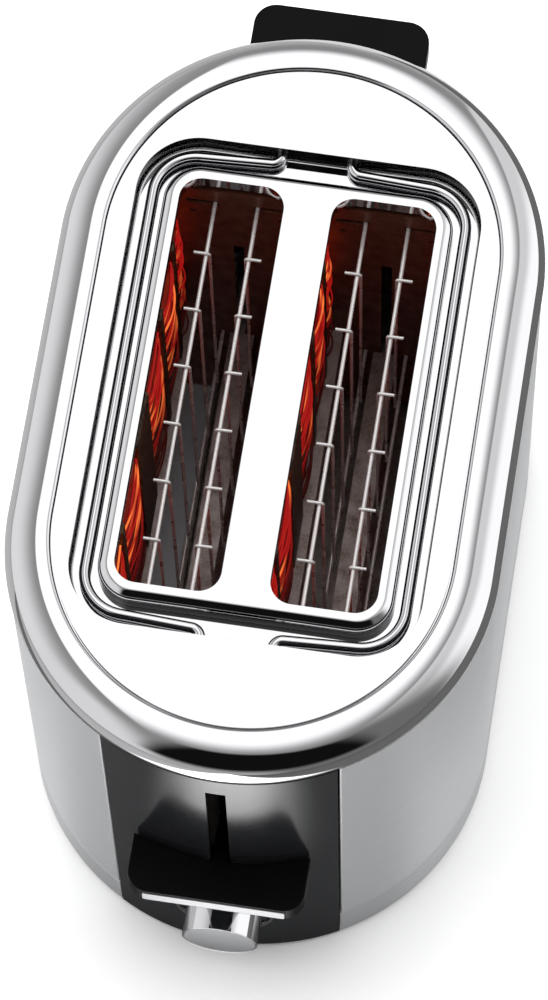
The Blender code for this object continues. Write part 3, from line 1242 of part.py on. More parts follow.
def make_rack_side(side, name):
    """One bent wire of the bun rack with the crank on its back end."""
    z = rack_height()
    hinge_x = side * RACK_HINGE_X
    side_x = side * RACK_SIDE_X
    near, far = crank_y()
    front_y = -(TROUGH_HALF_Y + TROUGH_WALL + RACK_FRONT_REACH)
    corners = [(hinge_x, front_y, z), (hinge_x, -RACK_ARM_Y, z), (side_x, -RACK_CORNER_Y, z),
               (side_x, RACK_CORNER_Y, z), (hinge_x, RACK_ARM_Y, z), (hinge_x, far, z)]
    radii = [RACK_HINGE_BEND, RACK_CORNER_BEND, RACK_CORNER_BEND, RACK_HINGE_BEND]
    path = filleted(corners, radii, RACK_BEND_STEPS)
    wire = tube("bun_rack_" + name, [path], RACK_WIRE_RADIUS, 2, CHROME)
    pin_x, pin_z = crank_pin(side, 0.0)
    lean = math.atan2(pin_z - z, pin_x - hinge_x)
    eye = arc((hinge_x, z), CRANK_EYE_RADIUS, lean + math.pi / 2, lean + math.pi * 1.5, CORNER_STEPS)
    tip = arc((pin_x, pin_z), CRANK_TIP_RADIUS, lean - math.pi / 2, lean + math.pi / 2, CORNER_STEPS)
    crank = plate("rack_crank_" + name, [eye + tip], "Y", near, far, PLATED_SHEET)
    cut(crank, cylinder("rack_crank_%s_hole" % name, "Y", (hinge_x, near - OVERRUN, z),
                        far + OVERRUN, RACK_WIRE_RADIUS + GAP, SMALL_SEGMENTS))
    join(crank, cylinder("rack_crank_%s_pin" % name, "Y", (pin_x, far - CRANK_THICKNESS / 2, pin_z),
                         far + CRANK_PIN_REACH, CRANK_PIN_RADIUS, SMALL_SEGMENTS))
    joint_empty("bun_rack_%s_axis" % name, (hinge_x, 0.0, z), [wire, crank])


def cam_slot(side):
    """Closed outline of a cam slot: the pin's path as the slider sees it, made wide."""
    half = CRANK_PIN_RADIUS + CAM_SLOT_CLEARANCE
    track = []
    for index in range(CAM_SLOT_STEPS + 1):
        share = index / CAM_SLOT_STEPS
        x, z = crank_pin(side, share * RACK_SWING)
        track.append(Vector((x, z + share * RACK_TRAVEL)))
    left = []
    right = []
    for index, point in enumerate(track):
        before = track[max(0, index - 1)]
        after = track[min(CAM_SLOT_STEPS, index + 1)]
        ahead = (after - before).normalized()
        normal = Vector((-ahead.y, ahead.x))
        left.append(point + normal * half)
        right.append(point - normal * half)
    start = math.atan2(left[0].y - track[0].y, left[0].x - track[0].x)
    low_end = arc(track[0], half, start, start + math.pi, SMALL_SEGMENTS // 2)[1:-1]
    start = math.atan2(right[-1].y - track[-1].y, right[-1].x - track[-1].x)
    high_end = arc(track[-1], half, start, start + math.pi, SMALL_SEGMENTS // 2)[1:-1]
    outline = low_end + [(p.x, p.y) for p in right] + high_end + [(p.x, p.y) for p in reversed(left)]
    return outline


def make_rack_slider():
    """Cam plate with its hub on the back rod and the arm to the rack lever."""
    near = crank_y()[1] + CAM_CLEARANCE
    far = near + CAM_THICKNESS
    high = crank_pin(LEFT, RACK_SWING)[1] + RACK_TRAVEL + CRANK_PIN_RADIUS + CAM_TOP_MARGIN
    outline = rectangle((-CAM_HALF_X, CAM_LOW_Z), (CAM_HALF_X, high))
    slider = plate("rack_cam_plate", [outline, cam_slot(LEFT), cam_slot(RIGHT)], "Y", near, far,
                   PLATED_SHEET)
    hub_high = TOP_Z - RACK_LEVER_TOP_DROP
    hub_low = hub_high - CAM_HUB_HEIGHT
    half = CARRIAGE_WEB_HALF_X
    pin_low = crank_pin(LEFT, 0.0)[1] - CRANK_PIN_RADIUS - CAM_SLOT_CLEARANCE
    join(slider, box("rack_slider_web", (-half, near + CAM_THICKNESS / 2, CAM_LOW_Z + FUSE),
                     (half, CAM_ROD_Y, pin_low - FUSE)))
    join(slider, cylinder("rack_slider_hub", "Z", (0.0, CAM_ROD_Y, hub_low), hub_high,
                          CAM_HUB_RADIUS))
    join(slider, box("rack_slider_arm", (-half, CAM_ROD_Y, hub_high - LEVER_HEIGHT),
                     (half, CAM_ROD_Y + CAM_ARM_REACH, hub_high - FUSE)))
    cut(slider, cylinder("rack_slider_bore", "Z", (0.0, CAM_ROD_Y, CAM_LOW_Z - OVERRUN),
                         hub_high + OVERRUN, ROD_RADIUS + RUNNING_GAP))
    return slider


def make_back_rod():
    """Rod that guides the rack slider, and the bracket that carries it."""
    leg_y = END_PLATE_Y + END_PLATE_THICKNESS + GAP
    end_y = CAM_ROD_Y + ROD_RADIUS + BRACKET_END_MARGIN
    low = BRACKET_TOP_Z - BRACKET_LEG
    shelf_low = BRACKET_TOP_Z - BRACKET_THICKNESS
    outline = [(leg_y, low), (leg_y + BRACKET_THICKNESS, low), (leg_y + BRACKET_THICKNESS, shelf_low),
               (end_y, shelf_low), (end_y, BRACKET_TOP_Z), (leg_y, BRACKET_TOP_Z)]
    plate("back_rod_bracket", [outline], "X", -BRACKET_HALF_X, BRACKET_HALF_X, PLATED_SHEET)
    cylinder("back_guide_rod", "Z", (0.0, CAM_ROD_Y, BRACKET_TOP_Z + GAP),
             TOP_Z - TOP_PLATE_THICKNESS - GAP, ROD_RADIUS, ROUND_SEGMENTS, BRUSHED_STEEL)


def make_crumb_tray():
    """Shallow tray on the floor, with a curved face in the back panel."""
    low = FLOOR_Z + GAP
    inner_end = -(END_PLATE_Y - CARRIER_END_CLEARANCE)
    panel_inner = BODY_RADIUS - PANEL_THICKNESS
    outer_end = STRAIGHT_HALF + panel_inner
    tray = box("crumb_tray", (-TRAY_HALF_X, inner_end, low),
               (TRAY_HALF_X, outer_end - OVERRUN, low + TRAY_HEIGHT), PLATED_SHEET)
    wall = TRAY_THICKNESS
    back_wall = wall_y(panel_inner, TRAY_HALF_X) - OVERRUN
    cut(tray, box("crumb_tray_hollow", (-TRAY_HALF_X + wall, inner_end + wall, low + wall),
                  (TRAY_HALF_X - wall, back_wall, low + TRAY_HEIGHT + OVERRUN)))
    beyond = panel_outline(PANEL_HALF, LEVER_REACH, panel_inner - GAP)
    cut(tray, plate("crumb_tray_trim", [mirrored_y(beyond)], "Z", low - OVERRUN,
                    low + TRAY_HEIGHT + OVERRUN))
    face = panel_outline(TRAY_FACE_HALF_X, BODY_RADIUS, panel_inner - GAP - FUSE)
    join(tray, plate("crumb_tray_face", [mirrored_y(face)], "Z", low + FUSE / 4,
                     low + TRAY_FACE_HEIGHT))
    return tray


def build_toaster():
    """Make every piece, and tie the moving ones to their joints."""
    make_base()
    make_feet()
    make_screws()
    make_lead_bush()
    make_side_shells()
    make_panels()
    make_top_rim()
    make_top_plate()
    make_slot_plate()
    make_end_plates()
    make_reflectors()
    make_heater_boards()
    make_heater_windings()
    make_bread_guides()
    make_front_rod()
    make_lift_spring()
    make_controls()
    make_rack_side(LEFT, "left")
    make_rack_side(RIGHT, "right")
    make_back_rod()
    carriage = make_bread_carriers() + [make_carriage(), make_latch()]
    carriage += make_lever("bread_lever", FRONT, LEVER_TOP_Z, ROD_Y + LEVER_ARM_REACH)
    joint_empty("carriage_slide", (0.0, -ROD_Y, HUB_LOW_Z), carriage)
    slider = [make_rack_slider()]
    slider += make_lever("rack_lever", BACK, TOP_Z - RACK_LEVER_TOP_DROP, CAM_ROD_Y + CAM_ARM_REACH)
    joint_empty("rack_slide", (0.0, CAM_ROD_Y, CAM_LOW_Z), slider)
    joint_empty("tray_slide", (0.0, 0.0, FLOOR_Z + GAP), [make_crumb_tray()])


build_toaster()
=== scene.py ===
"""Looks of a two-slot toaster: finishes for every piece, and fine shapes for those that show.

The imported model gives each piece's place and motion. This script dresses it: sheet metal is
pressed, rolled and folded again with smooth bends, the wires get their real gauge, the levers
and the knob their rounded edges, and each surface the finish of its real material.
Lengths are in metres, +Z is up and the front of the toaster faces -Y.
"""

import logging
import math
from collections.abc import Callable, Iterable, Iterator
from contextlib import contextmanager
from dataclasses import dataclass
from enum import Enum

import bmesh
import bpy
from mathutils import Matrix, Vector


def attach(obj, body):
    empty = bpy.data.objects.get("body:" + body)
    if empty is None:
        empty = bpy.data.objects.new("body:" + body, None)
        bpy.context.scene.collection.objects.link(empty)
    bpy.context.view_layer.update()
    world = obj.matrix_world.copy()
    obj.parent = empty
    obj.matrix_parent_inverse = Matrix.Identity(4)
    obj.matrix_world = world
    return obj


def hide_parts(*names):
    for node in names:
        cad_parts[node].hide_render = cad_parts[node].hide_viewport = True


Piece = bpy.types.Object
Face = bpy.types.MeshPolygon
Edge = bmesh.types.BMEdge
Socket = bpy.types.NodeSocket
Pair = tuple[float, float]
Triple = tuple[float, float, float]

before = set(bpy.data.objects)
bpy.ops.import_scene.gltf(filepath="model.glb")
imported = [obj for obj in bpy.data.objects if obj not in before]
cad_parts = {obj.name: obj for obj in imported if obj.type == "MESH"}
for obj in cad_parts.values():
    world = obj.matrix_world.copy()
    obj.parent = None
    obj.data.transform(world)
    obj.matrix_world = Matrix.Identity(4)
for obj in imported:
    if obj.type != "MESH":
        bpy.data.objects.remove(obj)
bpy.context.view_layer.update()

LOG = logging.getLogger("toaster")

MM = 0.001
# How near a point counts as at a place, and how far past an outline it counts as on it.
TOUCH = 0.01 * MM
SLACK = 0.05 * MM
# How far the larger cutters run past what they cut; the smaller ones run 1 mm past it.
OVERRUN = 5 * MM
FRONT = LEFT = -1
BACK = RIGHT = 1
SIDES = {"left": LEFT, "right": RIGHT}
ENDS = {"front": FRONT, "back": BACK}
TO_LEFT, TO_RIGHT = (-1, 0, 0), (1, 0, 0)
TO_FRONT, TO_BACK = (0, -1, 0), (0, 1, 0)
TO_TOP = (0, 0, 1)
# The middle of a noise, where nearly all its values lie.
NOISE_MIDDLE = (0.3, 0.7)
# Heights between which the heaters' glow comes up from dull to full.
GLOW_RISE = (105 * MM, 145 * MM)
# Distances from the middle between which a cutter goes through an end of the body.
END_INSIDE, END_OUTSIDE = 100 * MM, 160 * MM


class Axis(Enum):
    """Direction of a turned or drilled piece."""

    X = 0
    Y = 1
    Z = 2


class Grain(Enum):
    """Scale of a brushed surface's pattern: small along the lines and one across them."""

    ALONG = (0.02, 0.02, 1.0)
    UPRIGHT = (1.0, 1.0, 0.02)


def linear(code: str) -> tuple[float, float, float, float]:
    """Turn an sRGB hex colour to linear light.

    Args:
        code: Colour such as "#C8C9CA".

    Returns:
        Red, green, blue and an alpha of one.
    """
    values = [int(code[index:index + 2], 16) / 255 for index in (1, 3, 5)]
    bent = [value / 12.92 if value <= 0.04045 else ((value + 0.055) / 1.055) ** 2.4
            for value in values]
    return (bent[0], bent[1], bent[2], 1.0)


def heading(degrees: float) -> Triple:
    """Level direction, turned from the right towards the front."""
    turn = math.radians(degrees)
    return (math.cos(turn), -math.sin(turn), 0)


def rise(degrees: float) -> Triple:
    """Direction tilted up from the back, and past the top towards the front."""
    turn = math.radians(degrees)
    return (0, math.cos(turn), math.sin(turn))


def add_node(tree: bpy.types.NodeTree, kind: str, settings: dict | None = None,
             links: dict | None = None, **values: object) -> bpy.types.Node:
    """Add a shader node with its settings, socket values and incoming links.

    Args:
        tree: Node tree that gets the node.
        kind: Blender's name of the node type, such as "ShaderNodeTexNoise".
        settings: Attributes of the node itself.
        links: Output socket for each named or numbered input.
        values: Socket values by name, with _ for a space.

    Returns:
        The new node.
    """
    node = tree.nodes.new(kind)
    for key, value in (settings or {}).items():
        setattr(node, key, value)
    for key, value in values.items():
        node.inputs[key.replace("_", " ")].default_value = value
    for key, socket in (links or {}).items():
        tree.links.new(socket, node.inputs[key])
    return node


@dataclass(frozen=True)
class Patch:
    """A brighter or darker patch of the room or the table, with soft edges.

    Each edge is a facing and the places along it at which the patch starts and is full. In
    the room a place is the cosine of the angle to the facing, on the table it is in metres.
    """

    level: float
    edges: tuple[tuple[Triple, float, float], ...]


@dataclass(frozen=True)
class Graph:
    """Nodes of a material or of the world, on the coordinates that their patterns read."""

    tree: bpy.types.NodeTree
    place: Socket
    shader: bpy.types.Node | None = None

    def feed(self, name: str, value: Socket) -> None:
        """Link a value to an input of the shader."""
        self.tree.links.new(value, self.shader.inputs[name])

    def noise(self, size: float, detail: float = 3.0,
              stretch: Triple = (1.0, 1.0, 1.0)) -> Socket:
        """Noise from 0 to 1.

        Args:
            size: Width of one grain in metres.
            detail: Octaves of finer noise.
            stretch: Scale along each axis; a small one draws the grains out.

        Returns:
            The noise.
        """
        scaled = add_node(self.tree, "ShaderNodeMapping", links={"Vector": self.place},
                          Scale=stretch)
        noise = add_node(self.tree, "ShaderNodeTexNoise",
                         links={"Vector": scaled.outputs["Vector"]},
                         Scale=1 / size, Detail=detail, Roughness=0.55)
        return noise.outputs["Fac"]

    def ramp(self, value: Socket, start: float, stop: float, low: float = 0.0,
             high: float = 1.0, kind: str = "LINEAR") -> Socket:
        """Turn values from start to stop into values from low to high."""
        node = add_node(self.tree, "ShaderNodeMapRange", {"interpolation_type": kind},
                        {"Value": value}, From_Min=start, From_Max=stop, To_Min=low, To_Max=high)
        return node.outputs["Result"]

    def spread(self, value: Socket, low: float, high: float) -> Socket:
        """Spread the middle of a noise over a range of values."""
        return self.ramp(value, *NOISE_MIDDLE, low, high)

    def mix(self, kind: str, share: Socket, under: object, over: object) -> Socket:
        """Mix two values, each of them a constant or a socket.

        Args:
            kind: "FLOAT" for brightnesses, "RGBA" for colours, whose constants are hex codes.
            share: How much of the second one shows, from 0 to 1.
            under: The first value.
            over: The second value.

        Returns:
            The mixed value.
        """
        first, output = {"FLOAT": (2, 0), "RGBA": (6, 2)}[kind]
        node = add_node(self.tree, "ShaderNodeMix", {"data_type": kind}, {"Factor": share})
        for index, value in ((first, under), (first + 1, over)):
            if isinstance(value, Socket):
                self.tree.links.new(value, node.inputs[index])
            else:
                node.inputs[index].default_value = linear(value) if kind == "RGBA" else value
        return node.outputs[output]

    def product(self, first: Socket, *others: Socket) -> Socket:
        """Where several shares hold at once."""
        whole = first
        for share in others:
            node = add_node(self.tree, "ShaderNodeMath", {"operation": "MULTIPLY"},
                            {0: whole, 1: share})
            whole = node.outputs["Value"]
        return whole

    def relief(self, height: Socket, depth: float, strength: float) -> None:
        """Raise the surface by a height pattern, depth metres from low to high."""
        bump = add_node(self.tree, "ShaderNodeBump", links={"Height": height},
                        Strength=strength, Distance=depth)
        self.feed("Normal", bump.outputs["Normal"])

    def tint(self, value: Socket, colour: str, other: str) -> None:
        """Mix the base colour with another by a value from 0 to 1."""
        self.feed("Base Color", self.mix("RGBA", value, colour, other))

    def by_height(self, lower: str, upper: str) -> Socket:
        """Colour of a glow by height, dull near the chamber's foot and full above it: the heater
        wire's own glow, or the wire's light painted on the mica.
        """
        parts = add_node(self.tree, "ShaderNodeSeparateXYZ", links={"Vector": self.place})
        return self.mix("RGBA", self.ramp(parts.outputs["Z"], *GLOW_RISE), lower, upper)

    def edge(self, facing: Triple, start: float, full: float) -> Socket:
        """Soft edge: a share that goes from 0 at start to 1 at full, along a facing."""
        dot = add_node(self.tree, "ShaderNodeVectorMath", {"operation": "DOT_PRODUCT"},
                       {0: self.place})
        dot.inputs[1].default_value = Vector(facing).normalized()
        return self.ramp(dot.outputs["Value"], start, full, kind="SMOOTHSTEP")

    def paint(self, base: float, patches: Iterable[Patch]) -> Socket:
        """Lay patches one after the other over an even brightness."""
        level = base
        for patch in patches:
            share = self.product(*(self.edge(*edge) for edge in patch.edges))
            level = self.mix("FLOAT", share, level, patch.level)
        return level


@dataclass(frozen=True)
class Finish:
    """A surface finish: a real material and how it was made."""

    name: str
    slot: str
    colour: str
    metallic: float
    roughness: float

    def material(self) -> bpy.types.Material:
        """Make the material the first time, and give the same one after that."""
        known = bpy.data.materials.get(self.name)
        if known is not None:
            return known
        material = bpy.data.materials.new(self.name)
        material.use_nodes = True
        tree = material.node_tree
        shader = tree.nodes["Principled BSDF"]
        shader.inputs["Base Color"].default_value = linear(self.colour)
        shader.inputs["Metallic"].default_value = self.metallic
        shader.inputs["Roughness"].default_value = self.roughness
        material.diffuse_color = linear(self.colour)
        place = add_node(tree, "ShaderNodeTexCoord").outputs["Object"]
        self.dress(Graph(tree, place, shader))
        return material

    def dress(self, graph: Graph) -> None:
        """Add the nodes of the pattern, which each kind of finish has of its own."""


@dataclass(frozen=True)
class PolishedChrome(Finish):
    """Polished steel under bright chrome plate: a mirror with faint wipe marks."""

    def dress(self, graph: Graph) -> None:
        """Faint cloudy marks in the gloss, and the slight waviness of pressed sheet."""
        marks = graph.noise(9 * MM, 6.0)
        graph.feed("Roughness", graph.spread(marks, self.roughness * 0.6, self.roughness * 1.5))
        graph.relief(graph.noise(60 * MM, 0.0), 0.05 * MM, 0.35)


@dataclass(frozen=True)
class BrushedSteel(Finish):
    """Metal brushed or drawn in one direction, which spreads highlights across the lines."""

    grain: Grain = Grain.ALONG
    contrast: float = 0.5

    def dress(self, graph: Graph) -> None:
        """Fine brush lines; their 0.1 mm spacing is drawn at 0.5 mm so that they show."""
        lines = graph.noise(0.5 * MM, 4.0, self.grain.value)
        graph.feed("Roughness", graph.spread(lines, self.roughness - 0.05, self.roughness + 0.07))
        graph.tint(graph.spread(lines, 0.0, self.contrast), self.colour, "#A9AAAC")
        graph.relief(lines, 0.01 * MM, self.contrast / 2)


@dataclass(frozen=True)
class Moulding(Finish):
    """Moulded plastic or rubber: glossy where the tool was polished, matt where eroded."""

    grit: float = 0.5 * MM
    depth: float = 0.01 * MM
    lighter: str = "#2A2A2C"
    gloss: float = 0.5

    def dress(self, graph: Graph) -> None:
        """The fine pebbled skin of the tool, and slow change of gloss from handling."""
        graph.shader.inputs["Specular IOR Level"].default_value = self.gloss
        touch = graph.noise(25 * MM, 4.0)
        graph.feed("Roughness", graph.spread(touch, self.roughness * 0.85, self.roughness * 1.15))
        graph.tint(graph.spread(touch, 0.0, 0.25), self.colour, self.lighter)
        graph.relief(graph.noise(self.grit), self.depth, 0.3)


@dataclass(frozen=True)
class PlatedSheet(Finish):
    """Zinc-plated or aluminised steel sheet: dull, mottled, with dark specks and heat stain."""

    stain: str = "#6B5A50"

    def dress(self, graph: Graph) -> None:
        """Cloudy spangle with fine dark specks of about a millimetre."""
        cloud = graph.noise(7 * MM, 5.0)
        specks = graph.noise(0.9 * MM, 2.0)
        stained = graph.product(graph.spread(cloud, 0.0, 1.0), graph.spread(specks, 0.2, 1.0))
        graph.tint(stained, self.colour, self.stain)
        graph.feed("Roughness", graph.spread(cloud, self.roughness - 0.06, self.roughness + 0.1))
        graph.relief(specks, 0.02 * MM, 0.3)


@dataclass(frozen=True)
class MicaSheet(Finish):
    """Pressed mica paper: a brown board with pale flakes, with the wire's red light painted on it
    as a glow.
    """

    glow: float = 0.0

    def dress(self, graph: Graph) -> None:
        """Flakes of two or three millimetres in lighter and darker brown, and a painted glow for
        the wire's red light, brighter higher up.
        """
        cells = add_node(graph.tree, "ShaderNodeTexVoronoi", links={"Vector": graph.place},
                         Scale=1 / (2.5 * MM))
        flakes = cells.outputs["Distance"]
        graph.tint(graph.spread(flakes, 0.0, 0.7), self.colour, "#6E5036")
        graph.relief(flakes, 0.03 * MM, 0.4)
        # The glow is painted light: it stands for the wire's red light on the board.
        graph.shader.inputs["Emission Strength"].default_value = self.glow
        graph.feed("Emission Color", graph.by_height("#180406", "#8A0C10"))


@dataclass(frozen=True)
class GlowingWire(Finish):
    """Resistance wire at red heat: it gives off its own orange light."""

    glow: str = "#FF7A38"
    strength: float = 1.1

    def dress(self, graph: Graph) -> None:
        """Strands at full heat beside duller ones, each even along its length."""
        heat = graph.spread(graph.noise(5 * MM, 1.0, (1.0, 0.08, 1.0)), -2.0, 1.3)
        graph.shader.inputs["Emission Strength"].default_value = self.strength
        dull = graph.by_height("#1E0404", "#9A100E")
        full = graph.by_height("#3A0806", self.glow)
        graph.feed("Emission Color", graph.mix("RGBA", heat, dull, full))


# Bright chrome on the pressed top, the wires and the knob: near white where it sees the lamps.
CHROME = PolishedChrome("bright_chrome_plate", "chrome", "#E8E8EA", 1.0, 0.035)
# Walls of the trough and the slot plate's skirt: painted shade and painted dark reflection on the
# chrome, kept dark for the look: in the photo their bright plate mirrors something dark that this
# studio doesn't have.
PAINTED_SHADE_CHROME = PolishedChrome("chrome_wall_painted_shade", "chrome", "#2E2E30", 1.0, 0.12)
# Chrome on the thin bread guides, a little duller from heat.
GUIDE_CHROME = PolishedChrome("heated_chrome_wire", "chrome", "#F2F0EE", 0.5, 0.28)
# Stainless side sheets, brushed along the length. They are only partly metallic for the look,
# so that their soft light greys stay as even as in the photo.
SIDE_STEEL = BrushedSteel("brushed_stainless_sheet", "brushed_steel", "#ECEDEF", 0.3, 0.36,
                          contrast=0.12)
# Small bars and rods of drawn steel.
ROD_STEEL = BrushedSteel("drawn_steel_rod", "brushed_steel", "#B9BABC", 1.0, 0.25, Grain.UPRIGHT)
# Strips on the levers, brushed along their length: pale, matt.
STRIP_STEEL = BrushedSteel("brushed_strip_steel", "brushed_steel", "#B4B4B6", 1.0, 0.38)
# Face of the knob, matt.
FACE_STEEL = BrushedSteel("matt_knob_face", "chrome", "#C6C7C9", 1.0, 0.33)
# Glossy dark grey ABS of the end panels: it mirrors the white table softly.
PANEL_ABS = Moulding("gloss_grey_abs", "panel_grey", "#26272A", 0.0, 0.16, 0.9 * MM, 0.002 * MM,
                     "#2C2D30", 0.65)
# Black phenolic of the levers, a soft satin.
LEVER_PHENOLIC = Moulding("satin_black_phenolic", "black_plastic", "#060607", 0.0, 0.34,
                          lighter="#09090A", gloss=0.09)
# Silver-grey polypropylene of the base, matt.
BASE_PLASTIC = Moulding("silver_grey_polypropylene", "silver_plastic", "#DADBDD", 0.25, 0.38,
                        lighter="#E0E1E3")
# Black nylon of the hidden carriage.
NYLON = Moulding("black_nylon", "black_plastic", "#101011", 0.0, 0.5)
# Soft black rubber of feet and bush.
RUBBER = Moulding("soft_black_rubber", "rubber", "#171717", 0.0, 0.8, 0.8 * MM, 0.04 * MM)
# Plated sheet of the bread carriers, the latch, the cams, the tray and the screws.
SHEET = PlatedSheet("aluminised_steel_sheet", "plated_sheet", "#A8A29E", 0.6, 0.38)
# Sheets beside the heaters, dulled by heat and lighter than the rest, as in the photo.
SHELF_SHEET = PlatedSheet("heat_dulled_sheet", "plated_sheet", "#CFC6C0", 0.35, 0.42, "#8A7468")
# End plates, browned by heat.
HOT_SHEET = PlatedSheet("heat_browned_sheet", "plated_sheet", "#8A5540", 0.5, 0.4, "#4A261A")
# Mica boards behind the wire: brown, with the wire's deep red light painted on them as a glow.
MICA = MicaSheet("brown_mica_board", "mica", "#3A2A1E", 0.0, 0.45, 0.32)
# Mica strips that hold the wire off the board, brown and dark.
MICA_STRIP = MicaSheet("dark_mica_strip", "mica", "#241A14", 0.0, 0.45)
# Heater wire at working heat.
HOT_WIRE = GlowingWire("glowing_resistance_wire", "heater_wire", "#3A1008", 0.0, 0.5)
# Green epoxy board of the timer.
EPOXY = Moulding("green_epoxy_board", "board_green", "#1C4A2A", 0.0, 0.4, lighter="#2A5C36")
# Enamelled copper in the magnet's coil.
COPPER = BrushedSteel("enamelled_copper_winding", "copper", "#B5622F", 1.0, 0.35)


def only(*pieces: Piece) -> None:
    """Select these objects alone, the first one active."""
    bpy.ops.object.select_all(action="DESELECT")
    for piece in pieces:
        piece.select_set(True)
    bpy.context.view_layer.objects.active = pieces[0]


@contextmanager
def edit_mode(piece: Piece) -> Iterator[None]:
    """Open a piece for editing with nothing in it selected, and close it afterwards."""
    only(piece)
    bpy.ops.object.mode_set(mode="EDIT")
    bpy.ops.mesh.select_all(action="DESELECT")
    yield
    bpy.ops.object.mode_set(mode="OBJECT")


def pick(piece: Piece, kind: str, test: Callable[[object], bool]) -> None:
    """Select by a test the vertices, edges or faces of the piece being edited.

    Args:
        piece: Piece that is open in edit mode.
        kind: "VERT", "EDGE" or "FACE".
        test: Says whether an element is wanted.
    """
    bpy.ops.mesh.select_mode(type=kind)
    bpy.ops.mesh.select_all(action="DESELECT")
    shape = bmesh.from_edit_mesh(piece.data)
    elements = {"VERT": shape.verts, "EDGE": shape.edges, "FACE": shape.faces}[kind]
    for element in [element for element in elements if test(element)]:
        element.select_set(True)
    shape.select_flush_mode()
    bmesh.update_edit_mesh(piece.data)


def bevel(piece: Piece, test: Callable[[Edge], bool], width: float, segments: int,
          **settings: object) -> None:
    """Round by a test some edges of the piece being edited."""
    pick(piece, "EDGE", test)
    bpy.ops.mesh.bevel(offset=width, segments=segments, affect="EDGES", **settings)


def trim(place: Triple, facing: Triple, **settings: object) -> None:
    """Cut the piece being edited at a plane and keep what lies on its facing side."""
    bpy.ops.mesh.select_all(action="SELECT")
    bpy.ops.mesh.bisect(plane_co=place, plane_no=facing, clear_inner=True, **settings)


def push(way: Vector | Triple) -> None:
    """Extrude what is selected by a vector."""
    bpy.ops.mesh.extrude_region_move(TRANSFORM_OT_translate={"value": tuple(way)})


def is_level(edge: Edge, height: float) -> bool:
    """Whether an edge lies at a height."""
    return all(abs(vertex.co.z - height) < TOUCH for vertex in edge.verts)


def is_upright(edge: Edge, least: float = MM) -> bool:
    """Whether an edge's ends differ in height by more than a least length."""
    return abs(edge.verts[0].co.z - edge.verts[1].co.z) > least


def is_within(edge: Edge, half: Pair, centre_x: float = 0.0) -> bool:
    """Whether an edge lies in a rectangle about (centre_x, 0) or about its mirror image."""
    return all(abs(abs(vertex.co.x) - centre_x) < half[0] + SLACK
               and abs(vertex.co.y) < half[1] + SLACK for vertex in edge.verts)


def new_piece(name: str) -> Piece:
    """Name the primitive that was just added, and put its place and size into its mesh."""
    piece = bpy.context.object
    piece.name = piece.data.name = name
    only(piece)
    bpy.ops.object.transform_apply(location=True, rotation=True, scale=True)
    return piece


def block(name: str, corner: Triple, opposite: Triple) -> Piece:
    """A cube primitive stretched between two opposite corners."""
    low, high = (Vector([choose(pair) for pair in zip(corner, opposite)]) for choose in (min, max))
    bpy.ops.mesh.primitive_cube_add(size=1.0, location=(low + high) / 2, scale=high - low)
    return new_piece(name)


def bar(name: str, axis: Axis, start: Triple, end: float, radius: float,
        sides: int = 48) -> Piece:
    """A cylinder primitive along an axis, from a point to a place on that axis."""
    turns = {Axis.X: (0, math.pi / 2, 0), Axis.Y: (math.pi / 2, 0, 0), Axis.Z: (0, 0, 0)}
    middle = Vector(start)
    length = abs(end - middle[axis.value])
    middle[axis.value] = (middle[axis.value] + end) / 2
    bpy.ops.mesh.primitive_cylinder_add(vertices=sides, radius=radius, depth=length,
                                        location=middle, rotation=turns[axis])
    return new_piece(name)


def apply_modifier(piece: Piece, kind: str, **settings: object) -> None:
    """Add a modifier with its settings and apply it."""
    modifier = piece.modifiers.new(kind.lower(), kind)
    for key, value in settings.items():
        setattr(modifier, key, value)
    only(piece)
    bpy.ops.object.modifier_apply(modifier=modifier.name)


def carve(piece: Piece, cutter: Piece, operation: str = "DIFFERENCE") -> Piece:
    """Cut, join or intersect a piece with another, which is used up."""
    apply_modifier(piece, "BOOLEAN", operation=operation, solver="EXACT", object=cutter)
    bpy.data.objects.remove(cutter, do_unlink=True)
    return piece


def shade(piece: Piece, angle: float = 40.0) -> Piece:
    """Shade smooth up to an angle in degrees, with flat faces kept flat."""
    only(piece)
    bpy.ops.object.shade_smooth_by_angle(angle=math.radians(angle))
    apply_modifier(piece, "WEIGHTED_NORMAL", keep_sharp=True, weight=100)
    return piece


def round_edges(piece: Piece, width: float, segments: int = 3, angle: float = 35.0) -> Piece:
    """Round every edge that is sharper than an angle in degrees, and shade it smooth."""
    apply_modifier(piece, "BEVEL", width=width, segments=segments, limit_method="ANGLE",
                   angle_limit=math.radians(angle))
    return shade(piece)


def rounded_block(name: str, half: Pair, corner: float, low: float, high: float,
                  centre_x: float = 0.0, segments: int = 14) -> Piece:
    """A block about (centre_x, 0) whose four upright edges are rounded."""
    piece = block(name, (centre_x - half[0], -half[1], low), (centre_x + half[0], half[1], high))
    with edit_mode(piece):
        bevel(piece, is_upright, corner, segments)
    return piece


def grown(half: Pair, margin: float) -> Pair:
    """Half sizes with a margin all round."""
    return (half[0] + margin, half[1] + margin)


def join_pieces(pieces: list[Piece], name: str) -> Piece:
    """Join pieces into the first one."""
    only(*pieces)
    bpy.ops.object.join()
    pieces[0].name = name
    return pieces[0]


def face_out(piece: Piece, merge: bool = True) -> Piece:
    """Make every face point outwards, after merging doubles if wanted."""
    with edit_mode(piece):
        bpy.ops.mesh.select_all(action="SELECT")
        if merge:
            bpy.ops.mesh.remove_doubles(threshold=0.002 * MM)
        bpy.ops.mesh.normals_make_consistent(inside=False)
    return piece


def quarter(steps: int) -> list[float]:
    """Turns from nothing to a right angle, in radians."""
    return [math.pi / 2 * step / steps for step in range(steps + 1)]


